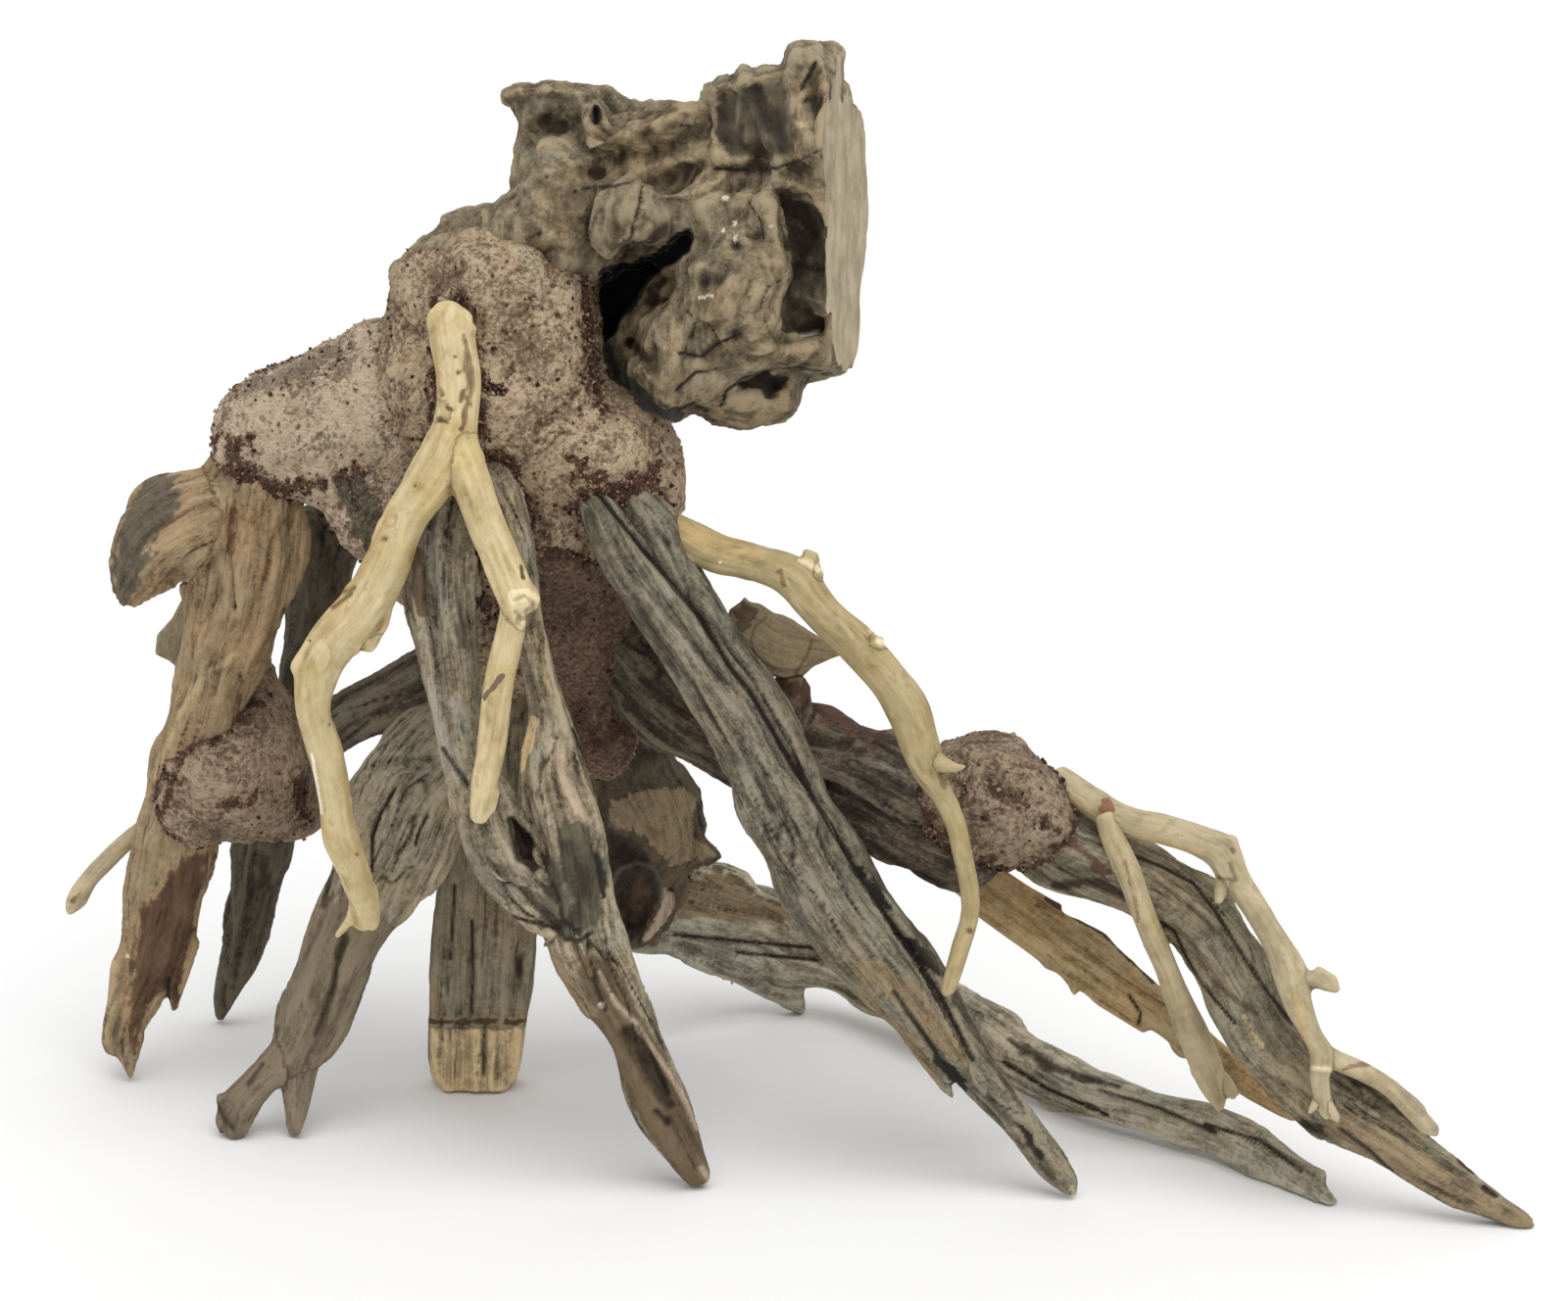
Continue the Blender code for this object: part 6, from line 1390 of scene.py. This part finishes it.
        # Painted shade along the folds
        self.crevice = np.maximum(self.crevice, fold * 0.3)
        self.raise_by(0.7 * swells + 0.3 * wrinkle + 0.22 * fine + 0.9 * scallop + 0.8 * scales - 0.7 * fold)

    def redden_joints(self, bones):
        """Paint the mortar red-brown in a ragged band where it meets the wood."""
        gap = np.full(len(self.spots), 99.0)
        for place, radius in zip(bones[:, PLACE], bones[:, RADIUS]):
            gap = np.minimum(gap, np.linalg.norm(self.spots - place, axis=1) - radius)
        share = 0.7 * smooth_step(4.5, 0.5, gap + 3.0 * self.waves(31, 4.0, self.spots))
        self.paint = share[:, None] * (*linear(MORTAR_RED), 1.0)

    def around(self, values):
        """The mean of each spot's neighbours, for rows of values."""
        links = read(self.mesh.edges, "vertices", 2, np.int32)
        ends = links.ravel()
        others = links[:, ::-1].ravel()
        count = len(values)
        near = np.maximum(np.bincount(ends, minlength=count), 1)
        return np.stack([np.bincount(ends, row[others], count) / near for row in values.T], axis=1)

    def find_cavity(self):
        """How far each spot lies under, or if less than 0 over, the smoothed skin, in millimetres."""
        even = self.spots
        for _ in range(14):
            even = 0.5 * even + 0.5 * self.around(even)
        return ((even - self.spots) * self.normals).sum(axis=1)

    def spread_paint(self, ground):
        """The colour of the paint, also just outside what is painted; the ground is the colour elsewhere."""
        spread = self.paint
        for _ in range(3):
            spread = np.where(self.paint[:, 3:] > 0.05, self.paint, self.around(spread))
        share = spread[:, 3:]
        return np.where(share > 0.001, spread[:, :3] / np.maximum(share, 0.001), linear(ground))

    def finish(self, ground):
        """Leave on the mesh what the finishes read; the ground is the colour where nothing is painted."""
        colours = np.concatenate((self.spread_paint(ground), self.paint[:, 3:]), axis=1)
        leave(self.mesh, "crevice", "FLOAT", "value", self.crevice)
        leave(self.mesh, "cavity", "FLOAT", "value", self.find_cavity())
        leave(self.mesh, "grain", "FLOAT_VECTOR", "vector", self.grain)
        leave(self.mesh, "paint", "FLOAT_COLOR", "color", colours)
        self.mesh.shade_smooth()


# Finishes

class Signal:
    """A socket of a finish, so that sums on it are written as plain Python."""

    def __init__(self, finish, socket):
        self.finish = finish
        self.socket = socket

    def __add__(self, other):
        return self.finish.sum("ADD", self, other)

    def __radd__(self, other):
        return self.finish.sum("ADD", other, self)

    def __sub__(self, other):
        return self.finish.sum("SUBTRACT", self, other)

    def __rsub__(self, other):
        return self.finish.sum("SUBTRACT", other, self)

    def __mul__(self, other):
        return self.finish.sum("MULTIPLY", self, other)

    def __rmul__(self, other):
        return self.finish.sum("MULTIPLY", other, self)


class Finish:
    """A material in the making."""

    def __init__(self, name):
        self.material = bpy.data.materials.new(name)
        self.material.use_nodes = True
        self.tree = self.material.node_tree
        self.shader = self.tree.nodes["Principled BSDF"]
        self.shader.inputs["Specular IOR Level"].default_value = 0.25

    def node(self, kind, settings, sockets, output=0):
        """A node with its settings made first, then the values or links of its sockets."""
        made = self.tree.nodes.new(kind)
        for name, value in settings.items():
            if name == "stops":
                made.color_ramp.elements.new(0.5)
                for element, (place, colour) in zip(made.color_ramp.elements, value):
                    element.position = place
                    element.color = solid(colour)
            else:
                setattr(made, name, value)
        for name, value in sockets.items():
            self.feed(made.inputs[name], value)
        return Signal(self, made.outputs[output])

    def feed(self, socket, value):
        """Link a signal to a socket, or set a plain value on it."""
        if isinstance(value, Signal):
            self.tree.links.new(value.socket, socket)
        else:
            socket.default_value = value

    def sum(self, operation, *values):
        """One Math node."""
        return self.node("ShaderNodeMath", {"operation": operation}, dict(enumerate(values)))

    def between(self, low, high, value):
        """0 below low, 1 above high and a smooth slope between."""
        sockets = {0: value, 1: low, 2: high, 3: 0.0, 4: 1.0}
        return self.node("ShaderNodeMapRange", {"interpolation_type": "SMOOTHSTEP"}, sockets)

    def layer(self, name, output):
        """Something left on the mesh."""
        return self.node("ShaderNodeAttribute", {"attribute_name": name}, {}, output)

    def product(self, first, second):
        """Two vectors or colours, multiplied."""
        return self.node("ShaderNodeVectorMath", {"operation": "MULTIPLY"}, {0: first, 1: second})

    def scaled(self, vector, share):
        """A vector or a colour made longer or brighter."""
        return self.node("ShaderNodeVectorMath", {"operation": "SCALE"}, {0: vector, "Scale": share})

    def spots(self, size):
        """The place on the object, one unit to so many millimetres."""
        return self.scaled(self.node("ShaderNodeTexCoord", {}, {}, "Object"), 1000.0 / size)

    def noise(self, vector, detail, roughness):
        """Noise round 0, one cloud to a unit of the vector."""
        sockets = {"Vector": vector, "Scale": 1.0, "Detail": detail, "Roughness": roughness}
        return self.node("ShaderNodeTexNoise", {}, sockets) - 0.5

    def clouds(self, size, detail, roughness):
        """Noise round 0 with clouds of a size in millimetres."""
        return self.noise(self.spots(size), detail, roughness)

    def streaks(self, across, along, detail, roughness):
        """Noise round 0 with streaks along the grain, of a width and a length in millimetres."""
        sizes = (1.0 / across, 1.0 / across, 1.0 / along)
        return self.noise(self.product(self.layer("grain", "Vector"), sizes), detail, roughness)

    def mix(self, share, first, second):
        """A colour between two."""
        return self.node("ShaderNodeMix", {"data_type": "RGBA"}, {0: share, 6: first, 7: second}, 2)

    def toned(self, tone, low, high, tones):
        """The dark, middle and light colour, picked by a tone between low and high."""
        stops = tuple(zip((low, 0.5, high), tones))
        return self.node("ShaderNodeValToRGB", {"stops": stops}, {0: tone})

    def painted(self, colour, cover, shade):
        """The colour with what is painted on the mesh over it, shaded."""
        return self.mix(cover, colour, self.scaled(self.layer("paint", "Color"), shade))

    def close(self, colour, roughness, height, distance):
        """Lead a colour, a roughness and a height with its distance in millimetres to the shader."""
        self.feed(self.shader.inputs["Base Color"], colour)
        self.feed(self.shader.inputs["Roughness"], roughness)
        sockets = {"Strength": 1.0, "Distance": distance * MM, "Height": height}
        self.feed(self.shader.inputs["Normal"], self.node("ShaderNodeBump", {}, sockets))
        return self.material


def solid(colour):
    """8-bit sRGB as a socket's colour."""
    return (*linear(colour), 1.0)


def wood_finish(name, tones, streaks, mottle, cavity_shade):
    """Weathered wood with its grain along the limb: fibres and stains, painted shade in its splits, cracks
    and hollows, and painted highlights on its raised edges.
    """
    finish = Finish(name)
    fibres = finish.streaks(0.45, 9.0, 6.0, 0.75)
    bundles = finish.streaks(1.9, 45.0, 5.0, 0.65)
    stains = finish.clouds(13.0, 5.0, 0.65)
    specks = finish.clouds(1.2, 6.0, 0.8)
    tone = 0.53 + fibres * (1.1 * streaks) + bundles * (1.3 * streaks) + stains * mottle
    tone = tone + specks * (0.7 + 0.6 * streaks) + finish.clouds(5.0, 5.0, 0.65) * 0.7
    # Painted shade and highlight: darker where the skin lies in a hollow, lighter where it stands out
    tone = tone - finish.layer("cavity", "Fac") * cavity_shade
    warmth = finish.between(-0.15, 0.15, finish.clouds(19.0, 3.0, 0.5))
    tint = finish.mix(warmth, (0.98, 1.0, 1.0, 1.0), (1.06, 1.0, 0.92, 1.0))
    colour = finish.product(finish.toned(tone, 0.14, 0.86, tones), tint)
    cover = finish.between(0.15, 0.8, finish.layer("paint", "Alpha") + fibres * 0.8 + specks * 0.6)
    colour = finish.painted(colour, cover, finish.between(0.1, 0.9, tone) * 0.8 + 0.6)
    # Painted shade: dark lines along the splits of the grain and in the crevices
    split = finish.between(-0.13, -0.21, finish.streaks(0.8, 26.0, 4.0, 0.65))
    dark_line = finish.sum("MAXIMUM", split * (0.7 * streaks), finish.layer("crevice", "Fac") * 0.6)
    colour = finish.mix(dark_line, colour, solid(CREVICE))
    height = fibres * streaks + specks * 0.6 - split * (0.5 * streaks)
    return finish.close(colour, 0.85 + fibres * 0.2, height, 0.8)


def twig_finish(name, tones):
    """Peeled twig: smooth and pale, golden in places, with brown marks and flecks."""
    finish = Finish(name)
    fibres = finish.streaks(1.0, 16.0, 5.0, 0.65)
    stains = finish.clouds(10.0, 5.0, 0.65)
    flecks = finish.streaks(1.8, 4.0, 4.0, 0.7)
    # Painted shade in hollows and painted highlight on ridges, from the cavity
    tone = 0.55 + fibres * 0.8 + stains * 1.4 + flecks * 0.4 - finish.layer("cavity", "Fac") * 1.3
    olive = finish.between(0.0, 0.25, finish.clouds(15.0, 3.0, 0.5))
    tint = finish.mix(olive, (1.0, 1.0, 1.0, 1.0), (0.93, 0.9, 0.76, 1.0))
    colour = finish.product(finish.toned(tone, 0.12, 0.85, tones), tint)
    marks = finish.between(0.15, 0.22, flecks) * 0.5
    dirt = finish.between(0.1, 0.2, stains + flecks * 0.7) * 0.3
    colour = finish.mix(finish.sum("MAXIMUM", marks, dirt), colour, solid(SPOT_AND_SHADE_BROWN))
    cover = finish.between(0.15, 0.8, finish.layer("paint", "Alpha") + flecks * 0.8 + fibres * 0.4)
    colour = finish.painted(colour, cover, finish.between(0.1, 0.9, tone) * 0.5 + 0.75)
    # Painted shade in the crevices, in brown
    colour = finish.mix(finish.layer("crevice", "Fac") * 0.7, colour, solid(SPOT_AND_SHADE_BROWN))
    return finish.close(colour, 0.6 + fibres * 0.3, fibres * 0.6 + flecks * 0.5, 0.45)


def mortar_finish(name, tones):
    """Sawdust mortar: fine grains, each with its own tone, pale fibres and dark red-brown crumbs."""
    finish = Finish(name)
    grains = {"Vector": finish.spots(0.75), "Scale": 1.0, "Randomness": 1.0}
    each = finish.node("ShaderNodeTexVoronoi", {}, grains, "Color")
    middle_gap = finish.node("ShaderNodeTexVoronoi", {}, grains, "Distance")
    own = finish.node("ShaderNodeSeparateColor", {}, {0: each}) - 0.5
    fine = finish.clouds(0.6, 4.0, 0.75)
    lumps = finish.clouds(3.4, 6.0, 0.75)
    patches = finish.clouds(14.0, 6.0, 0.7)
    bits = finish.clouds(1.2, 4.0, 0.75)
    # Painted shade in hollows and painted highlight on ridges, from the cavity
    tone = 0.56 + own * 0.4 + fine * 1.1 + lumps * 1.2 + patches * 0.5 - finish.layer("cavity", "Fac") * 0.9
    crumbs = finish.between(0.04, 0.12, bits - patches * 0.8)
    colour = finish.mix(crumbs * 0.6, finish.toned(tone, 0.15, 0.85, tones), solid(MORTAR_RED))
    colour = finish.mix(finish.between(0.12, 0.19, bits) * 0.6, colour, solid(PALE_WOOD))
    cover = finish.between(0.3, 0.65, finish.layer("paint", "Alpha") + own * 0.4 + fine * 1.2 + lumps * 0.6)
    colour = finish.painted(colour, cover, own * 1.0 + fine * 1.6 + lumps + 1.0)
    return finish.close(colour, 0.95, fine + crumbs * 0.5 - middle_gap * 0.7, 1.0)


def crumb_finish():
    """Loose crumbs of sawdust, each with the tone left on it."""
    finish = Finish("crumbs")
    speckle = finish.clouds(0.5, 2.0, 0.6)
    colour = finish.scaled(finish.layer("paint", "Color"), speckle + 1.0)
    return finish.close(colour, 0.95, speckle, 0.3)


def sawn_finish():
    """The sawn end of the burl: pale and flat, with mottling and faint saw marks."""
    finish = Finish("sawn_end")
    fine = finish.clouds(0.8, 4.0, 0.7)
    tone = 0.5 + finish.clouds(9.0, 5.0, 0.6) * 1.5 + fine * 0.6
    return finish.close(finish.toned(tone, 0.15, 0.85, SAWN_TONES), 0.8 + fine * 0.2, fine, 0.2)


# Pieces

def carve(piece, node, bones, seed, frayed, grid):
    """Use the carving tools, splinter the free ends and melt the piece once more. Gives its new skin."""
    skin = Skin(piece, bones, seed)
    skin.draw(node, True)
    if frayed:
        skin.splinter(frayed)
    melt(piece, grid, 1)
    return Skin(piece, bones, seed)


def paint(piece, node, skin, ground, *finishes):
    """Paint a piece on a ground colour and give it its finishes."""
    skin.draw(node, False)
    skin.finish(ground)
    for finish in finishes:
        piece.data.materials.append(finish)


def attach(piece):
    """Attach a piece to the body of the root."""
    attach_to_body(piece, "root")


def make_wood(node, number):
    """A piece of wood, carved from its limbs. Gives the middle lines of the limbs."""
    *tones, frayed, grid = WOODS[node]
    is_twig = node in TWIGS
    is_split = node in SPLIT_WOOD
    step = TWIG_STEP if is_twig else ROOT_STEP
    rough = TWIG_ROUGH if is_twig else SPLIT_ROUGH if is_split else ROOT_ROUGH
    bm = bmesh.new()
    bones = []
    for branch, stations in enumerate(LIMBS[node]):
        seed = PIECE_SEED * number + BRANCH_SEED * branch
        bones += add_limb(bm, stations, step, rough, seed, SPLIT if is_split else ROUND)
    bones = np.array(bones)
    for shard in SHARDS.get(node, ()):
        add_shard(bm, *shard, bones)
    piece = make_object("carved_" + node, bm)
    melt(piece, grid, TWIG_SMOOTHING if is_twig else ROOT_SMOOTHING)
    if node == "front_leg":
        scoop(piece, (CUP,))
        melt(piece, grid, 3)
    skin = carve(piece, node, bones, number * SEED_STEP, frayed, grid)
    if is_twig:
        skin.raise_knots()
        paint(piece, node, skin, SPOT_AND_SHADE_BROWN, twig_finish(node, tones))
    else:
        skin.raise_grain(0.3 if node in CHIPS else 0.7 if is_split else 1.0)
        paint(piece, node, skin, STAIN_AND_SHADE, wood_finish(node, tones, streaks=1.0, mottle=1.0, cavity_shade=0.6))
    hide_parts(node)
    attach(piece)
    return bones[::2]


def shape_burl(piece, blobs, grid):
    """Hollow the burl out and set its slabs on it."""
    melt(piece, BURL_GRID, 8)
    scoop(piece, BURL_HOLLOWS + BURL_BITES)
    bm = bmesh.new()
    bm.from_mesh(piece.data)
    hearts = np.array([seen(*spot)[0] for spot, radii in blobs])
    for shard in SHARDS["burl"]:
        add_shard(bm, *shard, hearts)
    bm.to_mesh(piece.data)
    bm.free()
    melt(piece, grid, 3)


def shape_mortar(piece, grid):
    """Run the blobs of a lump of mortar together."""
    melt(piece, MORTAR_GRID, 12)
    fill_folds(piece)
    melt(piece, grid, 4)


def make_lump(node, number, bones):
    """A lump of burl wood or mortar, carved from its blobs. The mortar is red where it meets the bones."""
    blobs, tones, grid, crumbs = LUMPS[node]
    piece = make_blobs("carved_" + node, blobs)
    if node == "burl":
        shape_burl(piece, blobs, grid)
    else:
        shape_mortar(piece, grid)
    skin = carve(piece, node, (), LUMP_SEED + number * SEED_STEP, 0.0, grid)
    if node == "burl":
        skin.raise_burl()
        finish = wood_finish(node, tones, streaks=0.5, mottle=1.3, cavity_shade=0.5)
        paint(piece, node, skin, STAIN_AND_SHADE, finish, sawn_finish())
        saw_end(piece)
    else:
        skin.raise_crumbs()
        skin.redden_joints(bones)
        paint(piece, node, skin, MORTAR_RED, mortar_finish(node, tones))
    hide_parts(node)
    attach(piece)
    if crumbs:
        scatter_crumbs(node, crumbs, number, skin)


def scatter_crumbs(node, count, number, skin):
    """Loose crumbs on a lump of mortar, most of them where the crumbs tool was used."""
    bm = bmesh.new()
    bmesh.ops.create_cube(bm, size=CRUMB_SIZE)
    while len(bm.verts) < count * CRUMB_CORNERS:
        bmesh.ops.duplicate(bm, geom=bm.verts[:] + bm.edges[:] + bm.faces[:])
    crumbs = make_object(node + "_crumbs", bm)
    draw = np.random.default_rng(number + CRUMB_SEED)
    wish = 0.03 + skin.paint[:, 3] * (skin.paint[:, 0] < 0.1)
    chosen = draw.choice(len(wish), count, p=wish / wish.sum())
    turn, _ = np.linalg.qr(draw.normal(size=(count, 3, 3)))
    size = draw.uniform(0.3, 0.8, (count, 1, 1)) * draw.uniform(0.4, 1.3, (count, 1, 3))
    cubes = read(crumbs.data.vertices, "co", 3).reshape(count, CRUMB_CORNERS, 3)
    corners = (cubes * size * draw.uniform(0.7, 1.2, (count, CRUMB_CORNERS, 1))) @ turn
    corners += (skin.spots + skin.normals * 0.2)[chosen][:, None]
    corners[:, :, 2] = np.maximum(corners[:, :, 2], 0.0)
    write(crumbs.data.vertices, "co", corners * MM)
    tones = np.array([solid(tone) for tone in CRUMB_TONES])[draw.integers(0, len(CRUMB_TONES), count)]
    leave(crumbs.data, "paint", "FLOAT_COLOR", "color", np.repeat(tones, CRUMB_CORNERS, axis=0))
    crumbs.data.update()
    crumbs.data.materials.append(CRUMB_FINISH)
    attach(crumbs)


CRUMB_FINISH = crumb_finish()
ALL_BONES = np.concatenate([make_wood(node, number) for number, node in enumerate(LIMBS)])

for number, node in enumerate(LUMPS):
    make_lump(node, number, ALL_BONES)


# Floor, light and camera

FLOOR_REACH = 8.0
FLOOR_DROP = 0.1
FLOOR_TONE = (0.86, 0.86, 0.86, 1.0)
WHITE = (1.0, 1.0, 1.0, 1.0)
LIGHT_HEADING = Vector((-0.15, 0.45, -1.0))
LIGHT_WIDTH = radians(55.0)
LIGHT_STRENGTH = 1.9
ROOM_STRENGTH = 0.7
LENS = 90.0
FILM_WIDTH = 36.0


def make_floor():
    """A plain pale floor, a tenth of a millimetre under the feet."""
    bm = bmesh.new()
    bmesh.ops.create_grid(bm, x_segments=1, y_segments=1, size=FLOOR_REACH)
    bmesh.ops.translate(bm, verts=bm.verts[:], vec=(0.0, 0.0, -FLOOR_DROP * MM))
    floor = make_object("floor", bm)
    finish = Finish("floor_paper")
    finish.shader.inputs["Base Color"].default_value = FLOOR_TONE
    finish.shader.inputs["Roughness"].default_value = 0.9
    floor.data.materials.append(finish.material)


def light_scene():
    """Soft light from a wide patch of the ceiling, a little from the front, in a white room."""
    lamp = bpy.data.lights.new("ceiling_light", "SUN")
    lamp.angle = LIGHT_WIDTH
    lamp.energy = LIGHT_STRENGTH
    ceiling = bpy.data.objects.new("ceiling_light", lamp)
    ceiling.rotation_euler = LIGHT_HEADING.to_track_quat("-Z", "Y").to_euler()
    bpy.context.scene.collection.objects.link(ceiling)
    room = bpy.data.worlds.new("white_room")
    room.use_nodes = True
    room.node_tree.nodes["Background"].inputs["Color"].default_value = WHITE
    room.node_tree.nodes["Background"].inputs["Strength"].default_value = ROOM_STRENGTH
    bpy.context.scene.world = room
    bpy.context.scene.view_settings.view_transform = "Standard"


def place_camera():
    """The camera where the elevation's eye is."""
    lens = bpy.data.cameras.new("camera")
    lens.lens = LENS
    lens.sensor_width = FILM_WIDTH
    camera = bpy.data.objects.new("camera", lens)
    camera.location = (SHEET_MIDDLE - INWARD * VIEW_DISTANCE) * MM
    camera.rotation_euler = (radians(90.0) - VIEW_SLOPE, 0.0, 0.0)
    bpy.context.scene.collection.objects.link(camera)
    bpy.context.scene.camera = camera


make_floor()
light_scene()
place_camera()
